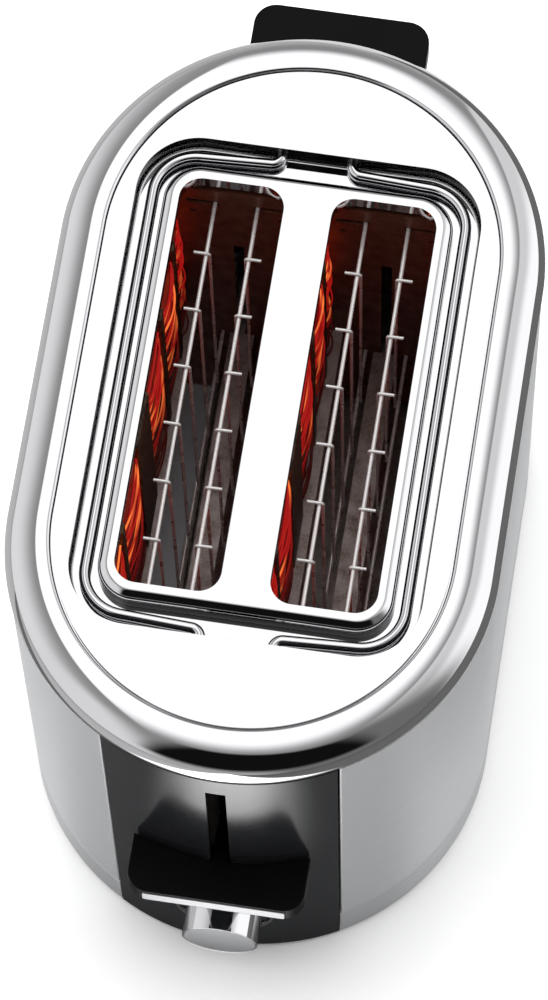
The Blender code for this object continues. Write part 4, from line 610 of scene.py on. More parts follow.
@dataclass
class Plan:
    """Plan of the body: straight sides with a half circle at each end."""

    straight_half: float = 54.1 * MM
    steps: int = 208

    def sweep(self, name: str, section: list[Pair], closed: bool = True) -> Piece:
        """Sweep a section of (radius, height) round the plan.

        Args:
            name: Name of the piece.
            section: Points of the section, in order.
            closed: Whether the last point joins the first.

        Returns:
            The swept piece.
        """
        radius, height = section[0]
        bpy.ops.mesh.primitive_circle_add(vertices=self.steps, radius=radius,
                                          location=(0, 0, height),
                                          rotation=(0, 0, math.pi / self.steps))
        piece = new_piece(name)
        with edit_mode(piece):
            for end in ENDS.values():
                self.pick_ring(piece, 0, end)
                bpy.ops.transform.translate(value=(0, end * self.straight_half, 0))
            for index, (next_radius, next_height) in enumerate(section[1:]):
                self.pick_ring(piece, index)
                push((0, 0, next_height - height))
                if abs(next_radius - radius) > 0.0001 * MM:
                    share = next_radius / radius
                    for end in ENDS.values():
                        self.pick_ring(piece, index + 1, end)
                        bpy.ops.transform.resize(
                            value=(share, share, 1),
                            center_override=(0, end * self.straight_half, next_height))
                radius, height = next_radius, next_height
            if closed:
                last = (len(section) - 1) * self.steps
                pick(piece, "EDGE", lambda edge: all(v.index < self.steps for v in edge.verts)
                     or all(v.index >= last for v in edge.verts))
                bpy.ops.mesh.bridge_edge_loops()
        return face_out(piece)

    def pick_ring(self, piece: Piece, index: int, end: int | None = None) -> None:
        """Select one ring of a sweep, all of it or the half at one end."""
        first = index * self.steps
        pick(piece, "VERT", lambda vertex: first <= vertex.index < first + self.steps
             and (end is None or vertex.co.y * end > 0))

    def solid(self, name: str, radius: float, low: float, high: float) -> Piece:
        """A stadium-shaped block, as a cutter or a floor."""
        piece = self.sweep(name, [(radius, low), (radius, high)], closed=False)
        with edit_mode(piece):
            for level in (low, high):
                pick(piece, "EDGE", lambda edge: is_level(edge, level))
                bpy.ops.mesh.edge_face_add()
        return face_out(piece)

    def band(self, name: str, radii: Pair, low: float, high: float) -> Piece:
        """A ring wall between two radii."""
        near, far = radii
        return self.sweep(name, [(near, low), (far, low), (far, high), (near, high)])

    def wall_y(self, radius: float, x: float) -> float:
        """How far the end wall is from the middle at a place x to the side."""
        return self.straight_half + math.sqrt(radius * radius - x * x)


PLAN = Plan()


def bent_wire(name: str, corners: list[Triple], bends: list[float], radius: float,
              sides: int = 16, steps: int = 8) -> Piece:
    """Draw wire along a path: a circle pushed along each straight and spun round each bend.

    Args:
        name: Name of the piece.
        corners: Ends of the wire and the corners between them.
        bends: Bend radius at each inner corner.
        radius: Radius of the wire.
        sides: Sides of the wire's section.
        steps: Steps round each bend.

    Returns:
        The wire, with closed ends.
    """
    points = [Vector(corner) for corner in corners]
    place = points[0]
    along = (points[1] - place).normalized()
    bpy.ops.mesh.primitive_circle_add(vertices=sides, radius=radius, location=place,
                                      rotation=along.to_track_quat("Z", "Y").to_euler())
    piece = new_piece(name)
    with edit_mode(piece):
        bpy.ops.mesh.select_all(action="SELECT")
        for before, corner, after, bend in zip(points, points[1:], points[2:], bends):
            back = (before - corner).normalized()
            ahead = (after - corner).normalized()
            half = back.angle(ahead) / 2
            reach = bend / math.tan(half)
            push(corner + back * reach - place)
            centre = corner + (back + ahead).normalized() * (bend / math.sin(half))
            bpy.ops.mesh.spin(steps=steps, angle=math.pi - 2 * half, center=centre,
                              axis=back.cross(ahead))
            place = corner + ahead * reach
        push(points[-1] - place)
        pick(piece, "EDGE", lambda edge: edge.is_boundary)
        bpy.ops.mesh.edge_face_add()
    return face_out(piece, merge=False)


def strand(name: str, points: list[Vector], radius: float) -> Piece:
    """A thin wire along many close points, as a curve turned into a mesh."""
    bpy.ops.object.select_all(action="DESELECT")
    curve = bpy.data.curves.new(name, "CURVE")
    curve.dimensions = "3D"
    curve.bevel_depth = radius
    curve.bevel_resolution = 2
    curve.use_fill_caps = True
    spline = curve.splines.new("POLY")
    spline.points.add(len(points) - 1)
    for point, place in zip(spline.points, points):
        point.co = (*place, 1.0)
    piece = bpy.data.objects.new(name, curve)
    bpy.context.scene.collection.objects.link(piece)
    only(piece)
    bpy.ops.object.convert(target="MESH")
    bpy.ops.object.shade_smooth()
    return bpy.context.object


def place_piece(piece: Piece, finish: Finish, body: str, *nodes: str) -> None:
    """Dress a finished piece, tie it to its body and let it stand for nodes of the frame.

    Args:
        piece: The finished piece.
        finish: Its finish.
        body: Body that it moves with.
        nodes: Nodes of the frame that it replaces.
    """
    piece.data.materials.clear()
    piece.data.materials.append(finish.material())
    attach(piece, body)
    if nodes:
        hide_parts(*nodes)
    LOG.info("%s: %s on %s, %d faces", piece.name, finish.name, body, len(piece.data.polygons))


def second_finish(piece: Piece, finish: Finish, test: Callable[[Face], bool]) -> None:
    """Give some faces of a piece, by a test, another finish."""
    piece.data.materials.append(finish.material())
    for face in piece.data.polygons:
        if test(face):
            face.material_index = 1


def dress_node(name: str, finish: Finish) -> None:
    """Give a node of the frame, whose shape is right, its finish."""
    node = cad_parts[name]
    node.data.materials.clear()
    node.data.materials.append(finish.material())
    LOG.info("%s: %s, shape of the frame", name, finish.name)


@dataclass
class BunRack:
    """Two bent wires that lie round the slot plate and swing up to carry buns."""

    gauge: float = 1.95 * MM
    height: float = 195.5 * MM
    hinge_x: float = 12.5 * MM
    side_x: float = 55.2 * MM
    arm_y: float = 87.6 * MM
    corner_y: float = 85.5 * MM
    front_reach: float = 94.4 * MM
    back_reach: float = 96.4 * MM
    hinge_bend: float = 3.5 * MM
    corner_bend: float = 15.0 * MM

    def build(self) -> None:
        """Make both wires, bent at their corners and at their pivots."""
        bends = [self.hinge_bend, self.corner_bend, self.corner_bend, self.hinge_bend]
        for name, side in SIDES.items():
            hinge, out = side * self.hinge_x, side * self.side_x
            path = ((hinge, -self.front_reach), (hinge, -self.arm_y), (out, -self.corner_y),
                    (out, self.corner_y), (hinge, self.arm_y), (hinge, self.back_reach))
            wire = bent_wire("rack_wire_" + name, [(*place, self.height) for place in path],
                             bends, self.gauge, 24, 16)
            place_piece(shade(wire, 60.0), CHROME, "rack_" + name, "bun_rack_" + name)


@dataclass
class TopTrim:
    """Pressed chrome top: the rim, the deck with its trough, and the raised slot plate."""

    rack: BunRack
    top: float = 201.0 * MM
    rim_radius: float = 85.0 * MM
    rim_inner: float = 68.85 * MM
    rim_crown: float = 0.6 * MM
    rim_shoulder: float = 3.4 * MM
    rim_drop: float = 9.0 * MM
    rim_low: float = 11.8 * MM
    rim_wall: float = 1.2 * MM
    rim_curl: tuple[Pair, ...] = ((0.3 * MM, 1.5 * MM), (0.9 * MM, 0.4 * MM), (1.6 * MM, 0.0),
                                  (2.6 * MM, 0.2 * MM))
    ledge_reach: float = 3.0 * MM
    ledge_top: float = 1.35 * MM
    ledge_low: float = 2.6 * MM
    deck_gap: float = 0.45 * MM
    deck_sheet: float = 1.0 * MM
    trough_half: Pair = (60.7 * MM, 91.4 * MM)
    trough_corner: float = 22.0 * MM
    trough_depth: float = 8.0 * MM
    trough_wall: float = 1.3 * MM
    trough_round: float = 0.9 * MM
    trough_foot: float = 1.2 * MM
    deck_hole: Pair = (48.0 * MM, 79.2 * MM)
    hole_corner: float = 6.0 * MM
    pivot_gap: float = 0.25 * MM
    pan_half: Pair = (51.0 * MM, 81.8 * MM)
    pan_corner: float = 13.0 * MM
    pan_sheet: float = 1.0 * MM
    pan_thickness: float = 2.6 * MM
    shoulder: float = 2.8 * MM
    shoulder_drop: float = 2.2 * MM
    shoulder_round: float = 1.4 * MM
    crest_round: float = 0.7 * MM
    slot_x: float = 26.85 * MM
    slot_half: Pair = (18.45 * MM, 76.0 * MM)
    slot_corner: float = 8.0 * MM
    slot_round: float = 0.75 * MM
    lip: float = 0.8 * MM
    lip_depth: float = 6.0 * MM

    def rim_section(self) -> list[Pair]:
        """Section of the rolled rim, round its outside and back through its inside."""
        crown_radius = self.rim_inner + self.rim_shoulder
        crown = self.top + self.rim_crown
        widest = self.top - self.rim_drop
        low = self.top - self.rim_low

        def dome(radius: float, crest: float, turns: Iterable[float]) -> list[Pair]:
            """Part of the bead's arch, from its crest to its widest place."""
            return [(crown_radius + (radius - crown_radius) * math.sin(turn),
                     widest + (crest - widest) * math.cos(turn)) for turn in turns]

        shares = [(step / 12) ** 1.6 for step in range(1, 13)]
        rise_height = self.rim_crown + self.ledge_top
        inner = [(self.rim_inner + self.rim_shoulder * share,
                  crown - rise_height * (1 - share) ** 8) for share in shares]
        curl = [(self.rim_radius - inwards, low + up) for inwards, up in self.rim_curl]
        ledge_edge = self.rim_inner - self.ledge_reach
        ledge = [(self.rim_inner + self.rim_wall, self.top - self.ledge_low),
                 (ledge_edge, self.top - self.ledge_low), (ledge_edge, self.top - self.ledge_top),
                 (self.rim_inner, self.top - self.ledge_top)]
        return [*inner, *dome(self.rim_radius, crown, quarter(24)[1:]), *curl,
                *dome(self.rim_radius - self.rim_wall, crown - self.rim_wall,
                      reversed(quarter(8))), *ledge]

    def make_rim(self) -> None:
        """Rolled bead round the top, with the ledge that the deck lies on."""
        rim = PLAN.sweep("rim_bead", self.rim_section())
        place_piece(shade(rim, 50.0), CHROME, "root", "top_rim")

    def make_deck(self) -> None:
        """Flat deck with the drawn trough, its edges rounded by the press."""
        floor = self.top - self.trough_depth
        low = floor - self.trough_wall
        deck = PLAN.solid("deck", self.rim_inner - self.deck_gap, self.top - self.deck_sheet,
                          self.top)
        carve(deck, rounded_block("tub", grown(self.trough_half, self.trough_wall),
                                  self.trough_corner + self.trough_wall, low,
                                  self.top - self.deck_sheet / 2), "UNION")
        carve(deck, rounded_block("hollow", self.trough_half, self.trough_corner, floor,
                                  self.top + OVERRUN, segments=20))
        carve(deck, rounded_block("hole", self.deck_hole, self.hole_corner, low - MM, self.top))
        with edit_mode(deck):
            for level, radius in ((self.top, self.trough_round), (floor, self.trough_foot)):
                bevel(deck, lambda edge: self.on_trough_edge(edge, level), radius, 6,
                      clamp_overlap=True)
        reach = self.trough_half[1] + OVERRUN
        for side in SIDES.values():
            carve(deck, bar("pivot_hole", Axis.Y,
                            (side * self.rack.hinge_x, -reach, self.rack.height), reach,
                            self.rack.gauge + self.pivot_gap, 32))
        place_piece(shade(deck, 30.0), CHROME, "root", "top_plate")
        # The trough's walls get chrome with painted shade and painted dark reflection.
        second_finish(deck, PAINTED_SHADE_CHROME, self.on_drawn_wall)

    def on_drawn_wall(self, face: Face) -> bool:
        """Whether a face lies on the trough's wall, between the floor and the upper bend: the faces
        with painted shade.
        """
        half_x, half_y = grown(self.trough_half, 0.1 * MM)
        return (0.8 * MM < self.top - face.center.z < self.trough_depth
                and abs(face.normal.z) < 0.5
                and abs(face.center.x) < half_x and abs(face.center.y) < half_y)

    def on_trough_edge(self, edge: Edge, level: float) -> bool:
        """Whether an edge lies on the trough's outline at a level."""
        wall = any(abs(face.normal.z) < 0.2 for face in edge.link_faces)
        return (wall and is_level(edge, level) and is_within(edge, self.trough_half)
                and all(self.past_pan(vertex.co) > 0 for vertex in edge.verts))

    def past_pan(self, place: Vector) -> float:
        """How far a point lies outside the slot plate's outline; negative inside it."""
        off_x = abs(place.x) - (self.pan_half[0] - self.pan_corner)
        off_y = abs(place.y) - (self.pan_half[1] - self.pan_corner)
        out = max(off_x, off_y) if min(off_x, off_y) <= 0 else math.hypot(off_x, off_y)
        return out - self.pan_corner

    def make_slot_plate(self) -> None:
        """Drawn pan with a soft shoulder and two slots with turned-down lips."""
        low = self.top - self.trough_depth + 0.1 * MM
        skirt = self.top - self.shoulder_drop
        pan = rounded_block("slot_pan", self.pan_half, self.pan_corner, low, self.top,
                            segments=20)
        with edit_mode(pan):
            pick(pan, "FACE", lambda face: face.normal.z > 0.9)
            bpy.ops.mesh.inset(thickness=self.shoulder)
            pick(pan, "VERT", lambda vertex: vertex.co.z > self.top - TOUCH
                 and self.on_skirt(vertex.co))
            bpy.ops.transform.translate(value=(0, 0, -self.shoulder_drop))
            for level, radius in ((self.top, self.crest_round), (skirt, self.shoulder_round)):
                bevel(pan, lambda edge: is_level(edge, level), radius, 5)
        carve(pan, rounded_block("pan_hollow", grown(self.pan_half, -self.pan_sheet),
                                 self.pan_corner - self.pan_sheet, low - MM,
                                 self.top - self.pan_thickness))
        for side in SIDES.values():
            centre = side * self.slot_x
            carve(pan, rounded_block("well", grown(self.slot_half, self.lip),
                                     self.slot_corner + self.lip, self.top - self.lip_depth,
                                     self.top - self.pan_sheet, centre), "UNION")
            carve(pan, rounded_block("mouth", self.slot_half, self.slot_corner,
                                     self.top - 20 * MM, self.top + MM, centre, 18))
        with edit_mode(pan):
            bevel(pan, lambda edge: is_level(edge, self.top)
                  and is_within(edge, self.slot_half, self.slot_x), self.slot_round, 5,
                  clamp_overlap=True)
        round_edges(pan, 0.2 * MM, 2, 50.0)
        place_piece(pan, CHROME, "root", "slot_plate")
        # The skirt below the shoulder gets chrome with painted shade and painted dark reflection.
        second_finish(pan, PAINTED_SHADE_CHROME,
                      lambda face: self.on_skirt(face.center) and face.center.z < skirt)

    def on_skirt(self, place: Vector) -> bool:
        """Whether a point lies on the slot plate's outer wall."""
        return self.past_pan(place) > -0.1 * MM

    def build(self) -> None:
        """Make the whole top."""
        self.make_rim()
        self.make_deck()
        self.make_slot_plate()


@dataclass
class OuterCase:
    """Steel side shells, dark end panels and the moulded base."""

    radius: float = 84.5 * MM
    seam: float = 24.0 * MM
    top: float = 188.9 * MM
    shell: float = 1.0 * MM
    panel_half: float = 40.5 * MM
    gap: float = 0.3 * MM
    fold: float = 6.0 * MM
    fold_round: float = 1.3 * MM
    panel_wall: float = 1.8 * MM
    panel_low: float = 3.0 * MM
    panel_top: float = 188.7 * MM
    base_low: float = 2.5 * MM
    base_gap: float = 0.6 * MM
    base_wall: float = 4.0 * MM
    base_soft: float = 1.2 * MM
    base_edge: float = 0.4 * MM
    floor_low: float = 6.0 * MM
    floor_top: float = 8.0 * MM
    slot_half: float = 3.5 * MM
    lever_slot: Pair = (93.0 * MM, 176.0 * MM)
    rack_slot: Pair = (157.5 * MM, 186.5 * MM)
    tray_slot: Pair = (8.0 * MM, 17.6 * MM)
    tray_half: float = 38.8 * MM
    tray_way_half: float = 38.6 * MM
    tray_way_top: float = 18.1 * MM
    knob_z: float = 41.0 * MM
    control_radius: float = 4.9 * MM
    foot_place: Pair = (50.0 * MM, 56.0 * MM)
    foot_radius: float = 8.0 * MM
    foot_top: float = 5.7 * MM
    screw_place: Pair = (49.0 * MM, 83.0 * MM)
    screw_head: float = 3.6 * MM
    head_heights: Pair = (3.7 * MM, 5.7 * MM)
    screw_shank: float = 1.8 * MM
    shank_heights: Pair = (5.5 * MM, 12.3 * MM)
    recess_half: Pair = (2.2 * MM, 0.4 * MM)
    recess_heights: Pair = (3.0 * MM, 4.9 * MM)
    lead_place: Pair = (50.0 * MM, 100.0 * MM)
    lead_radius: float = 6.3 * MM

    def make_side(self, side: int, name: str) -> None:
        """Side shell: a curved sheet folded in beside each panel."""
        edge = self.panel_half + self.gap
        sheet = PLAN.sweep(name + "_side", [(self.radius, self.seam), (self.radius, self.top)],
                           closed=False)
        with edit_mode(sheet):
            trim((side * edge, 0, 0), (side, 0, 0))
            for end in ENDS.values():
                pick(sheet, "EDGE", lambda e: all(abs(v.co.x - side * edge) < SLACK
                                                  and v.co.y * end > 0 for v in e.verts))
                push((0, -end * self.fold, 0))
            bevel(sheet, self.is_fold, self.fold_round, 5)
        self.thicken(sheet, self.shell)
        place_piece(shade(sheet, 50.0), SIDE_STEEL, "root", name + "_side_shell")

    def is_fold(self, edge: Edge) -> bool:
        """Whether an edge is the upright fold beside a panel."""
        fold_x = self.panel_half + self.gap
        place = edge.verts[0].co
        return (is_upright(edge, 50 * MM) and abs(abs(place.x) - fold_x) < SLACK
                and abs(abs(place.y) - PLAN.wall_y(self.radius, fold_x)) < 0.2 * MM)

    def thicken(self, sheet: Piece, wall: float) -> None:
        """Turn an open sheet's faces away from the middle of the body and back it with a wall."""
        face_out(sheet, merge=False)
        face = max(sheet.data.polygons, key=lambda polygon: polygon.area)
        centre = Vector((0, max(-PLAN.straight_half, min(PLAN.straight_half, face.center.y)), 0))
        away = face.center - centre
        away.z = 0
        if face.normal.dot(away) < 0:
            with edit_mode(sheet):
                bpy.ops.mesh.select_all(action="SELECT")
                bpy.ops.mesh.flip_normals()
        apply_modifier(sheet, "SOLIDIFY", thickness=wall, offset=-1.0, use_even_offset=True)

    def panel_blank(self, end: int, name: str) -> Piece:
        """Curved panel before its openings are cut."""
        sheet = PLAN.sweep(name + "_panel_skin", [(self.radius, self.panel_low),
                                                  (self.radius, self.panel_top)], closed=False)
        with edit_mode(sheet):
            for side in (RIGHT, LEFT):
                trim((side * self.panel_half, 0, 0), (-side, 0, 0))
            trim((0, end * PLAN.straight_half, 0), (0, end, 0))
        self.thicken(sheet, self.panel_wall)
        return sheet

    def opening(self, end: int, half: float, heights: Pair) -> Piece:
        """Cutter for an opening in an end panel."""
        return block("opening", (-half, end * END_INSIDE, heights[0]),
                     (half, end * END_OUTSIDE, heights[1]))

    def make_panels(self) -> None:
        """Front panel with slot and knob hole, back panel with slot and tray opening."""
        openings = {
            "front": (self.opening(FRONT, self.slot_half, self.lever_slot),
                      bar("control_hole", Axis.Y, (0, -END_OUTSIDE, self.knob_z), -END_INSIDE,
                          self.control_radius)),
            "back": (self.opening(BACK, self.slot_half, self.rack_slot),
                     self.opening(BACK, self.tray_half, self.tray_slot)),
        }
        for name, cutters in openings.items():
            panel = self.panel_blank(ENDS[name], name)
            for cutter in cutters:
                carve(panel, cutter)
            round_edges(panel, 0.35 * MM, 3, 40.0)
            place_piece(panel, PANEL_ABS, "root", name + "_panel")

    def make_base(self) -> None:
        """Base: a ring wall with a soft foot round a floor, stepped back behind the panels."""
        inner = self.radius - self.base_wall
        rim = self.seam - self.base_gap
        soft = [(self.radius - self.base_soft + self.base_soft * math.cos(turn),
                 self.base_low + self.base_soft - self.base_soft * math.sin(turn))
                for turn in quarter(4)]
        base = PLAN.sweep("base_tub", [(inner, rim), (self.radius - self.base_edge, rim),
                                       (self.radius, rim - self.base_edge), *soft,
                                       (inner, self.base_low)])
        carve(base, PLAN.solid("floor", inner + MM, self.floor_low, self.floor_top), "UNION")
        step_x = self.panel_half + self.gap
        step = PLAN.band("step", (self.radius - self.panel_wall - self.gap,
                                  self.radius + 9 * MM), -MM, 40 * MM)
        carve(step, block("keep", (-step_x, -200 * MM, -2 * MM), (step_x, 200 * MM, 41 * MM)),
              "INTERSECT")
        carve(base, step)
        carve(base, block("tray_way", (-self.tray_way_half, PLAN.straight_half, self.floor_top),
                          (self.tray_way_half, END_OUTSIDE, self.tray_way_top)))
        screw_x, screw_y = self.screw_place
        for side in SIDES.values():
            for end in ENDS.values():
                carve(base, bar("screw_hole", Axis.Z, (side * screw_x, end * screw_y, 0),
                                20 * MM, self.screw_shank + self.gap, 24))
        carve(base, bar("lead_hole", Axis.Z, (*self.lead_place, 0), 20 * MM, self.lead_radius))
        place_piece(shade(base), BASE_PLASTIC, "root", "base")

    def make_feet(self) -> None:
        """Rubber feet with a soft lower edge, and the heads of the floor screws."""
        foot_x, foot_y = self.foot_place
        for end_name, end in ENDS.items():
            for side_name, side in SIDES.items():
                name = f"{end_name}_{side_name}"
                foot = bar("rubber_foot_" + name, Axis.Z, (side * foot_x, end * foot_y, 0),
                           self.foot_top, self.foot_radius)
                round_edges(foot, 0.9 * MM, 4)
                place_piece(foot, RUBBER, "root", "foot_" + name)
                self.make_screw(side, end, name)
        dress_node("lead_bush", RUBBER)

    def make_screw(self, side: int, end: int, name: str) -> None:
        """Pan-head screw with a cross recess."""
        x, y = side * self.screw_place[0], end * self.screw_place[1]
        low, high = self.head_heights
        screw = bar("floor_screw_" + name, Axis.Z, (x, y, low), high, self.screw_head, 32)
        low, high = self.shank_heights
        carve(screw, bar("shank", Axis.Z, (x, y, low), high, self.screw_shank, 24), "UNION")
        low, high = self.recess_heights
        for half_x, half_y in (self.recess_half, self.recess_half[::-1]):
            carve(screw, block("recess", (x - half_x, y - half_y, low),
                               (x + half_x, y + half_y, high)))
        round_edges(screw, 0.15 * MM, 2)
        place_piece(screw, SHEET, "root", "base_screw_" + name)

    def build(self) -> None:
        """Make the whole case."""
        for name, side in SIDES.items():
            self.make_side(side, name)
        self.make_panels()
        self.make_base()
        self.make_feet()


@dataclass
class Lever:
    """Wide black lever outside a panel, with a brushed strip let into its edge."""

    name: str
    body: str
    end: int
    top: float
    arm_y: float
    half_x: float = 31.5 * MM
    height: float = 10.0 * MM
    reach: float = 154.6 * MM
    corner: float = 8.0 * MM
    blank_y: float = 120.0 * MM
    back_radius: float = 85.5 * MM
    neck_half: float = 2.8 * MM
    neck_y: float = 142.0 * MM
    neck_inset: float = 0.5 * MM
    strip_half: float = 25.4 * MM
    strip_height: float = 6.3 * MM
    strip_out: float = 0.4 * MM
    strip_in: float = 0.6 * MM
    pocket_gap: float = 0.2 * MM

    def slab(self, name: str, half: float, reaches: Pair, low: float, high: float) -> Piece:
        """A block across the lever, between two distances from the middle of the body."""
        return block(name, (-half, self.end * reaches[0], low), (half, self.end * reaches[1], high))

    def build(self) -> None:
        """Make the grip and its strip."""
        low = self.top - self.height
        strip_low = self.top - (self.height + self.strip_height) / 2
        self.make_grip(low, strip_low)
        self.make_strip(strip_low)

    def make_grip(self, low: float, strip_low: float) -> None:
        """The grip: outer corners rounded, back edge curved to the panel, neck in the slot."""
        far = self.end * self.reach
        grip = self.slab(self.name + "_grip", self.half_x, (self.blank_y, self.reach), low,
                         self.top)
        with edit_mode(grip):
            bevel(grip, lambda edge: is_upright(edge)
                  and all(abs(v.co.y - far) < TOUCH for v in edge.verts), self.corner, 12)
        carve(grip, bar("panel_curve", Axis.Z, (0, self.end * PLAN.straight_half, low - MM),
                        self.top + MM, self.back_radius, 256))
        round_edges(grip, 1.3 * MM, 5)
        pocket_low = strip_low - self.pocket_gap
        carve(grip, self.slab("pocket", self.strip_half + self.pocket_gap,
                              (self.reach - self.strip_in - self.pocket_gap,
                               self.reach + 2 * MM), pocket_low,
                              pocket_low + self.strip_height + 2 * self.pocket_gap))
        neck = self.slab("neck", self.neck_half, (self.neck_y, self.arm_y),
                         low + self.neck_inset, self.top - self.neck_inset)
        round_edges(neck, 0.4 * MM, 2)
        carve(grip, neck, "UNION")
        place_piece(shade(grip, 35.0), LEVER_PHENOLIC, self.body, self.name)

    def make_strip(self, low: float) -> None:
        """Brushed steel strip, its corners rounded and its edges softened."""
        strip = self.slab(self.name + "_strip", self.strip_half,
                          (self.reach - self.strip_in, self.reach + self.strip_out), low,
                          low + self.strip_height)
        with edit_mode(strip):
            bevel(strip, lambda edge: abs(edge.verts[0].co.y - edge.verts[1].co.y) > 0.5 * MM,
                  1.2 * MM, 5)
        round_edges(strip, 0.25 * MM)
        place_piece(strip, STRIP_STEEL, self.body, self.name + "_trim")


@dataclass
class BrowningKnob:
    """Chrome knob with a matt face, the ring round it and its shaft."""

    z: float = 41.0 * MM
    radius: float = 13.8 * MM
    face_y: float = -150.0 * MM
    back_y: float = -139.3 * MM
    lip: float = 0.9 * MM
    face_sink: float = 0.35 * MM
    bore_depth: float = 7.0 * MM
    bore_radius: float = 3.3 * MM
    ring_inner: float = 16.9 * MM
    ring_outer: float = 18.1 * MM
    ring_radii: Pair = (84.8 * MM, 85.7 * MM)

    def rod(self, name: str, start: float, end: float, radius: float, sides: int) -> Piece:
        """A cylinder along the knob's axis."""
        return bar(name, Axis.Y, (0, start, self.z), end, radius, sides)

    def make_knob(self) -> None:
        """Turned knob: a straight chromed side, a bright lip and a sunk matt face."""
        knob = self.rod("knob_turning", self.back_y, self.face_y, self.radius, 128)
        with edit_mode(knob):
            pick(knob, "FACE", lambda face: face.normal.y < -0.9)
            bpy.ops.mesh.inset(thickness=self.lip)
            bpy.ops.transform.translate(value=(0, self.face_sink, 0))
        carve(knob, self.rod("bore", self.back_y + MM, self.back_y - self.bore_depth,
                             self.bore_radius, 48))
        round_edges(knob, 0.3 * MM, 4)
        place_piece(knob, CHROME, "knob", "browning_knob")
        second_finish(knob, FACE_STEEL, lambda face: face.normal.y < -0.9 and math.hypot(
            face.center.x, face.center.z - self.z) < self.radius - self.lip - SLACK)

    def make_ring(self) -> None:
        """Thin ring that follows the panel's curve."""
        ring = PLAN.band("knob_ring", self.ring_radii, 20 * MM, 62 * MM)
        with edit_mode(ring):
            trim((0, -PLAN.straight_half, 0), TO_FRONT, use_fill=True)
        for name, radius, operation in (("disc", self.ring_outer, "INTERSECT"),
                                        ("eye", self.ring_inner, "DIFFERENCE")):
            carve(ring, self.rod(name, -170 * MM, -END_INSIDE, radius, 128), operation)
        round_edges(ring, 0.2 * MM, 2)
        place_piece(ring, CHROME, "root", "knob_bezel")

    def build(self) -> None:
        """Make knob and ring."""
        self.make_knob()
        self.make_ring()


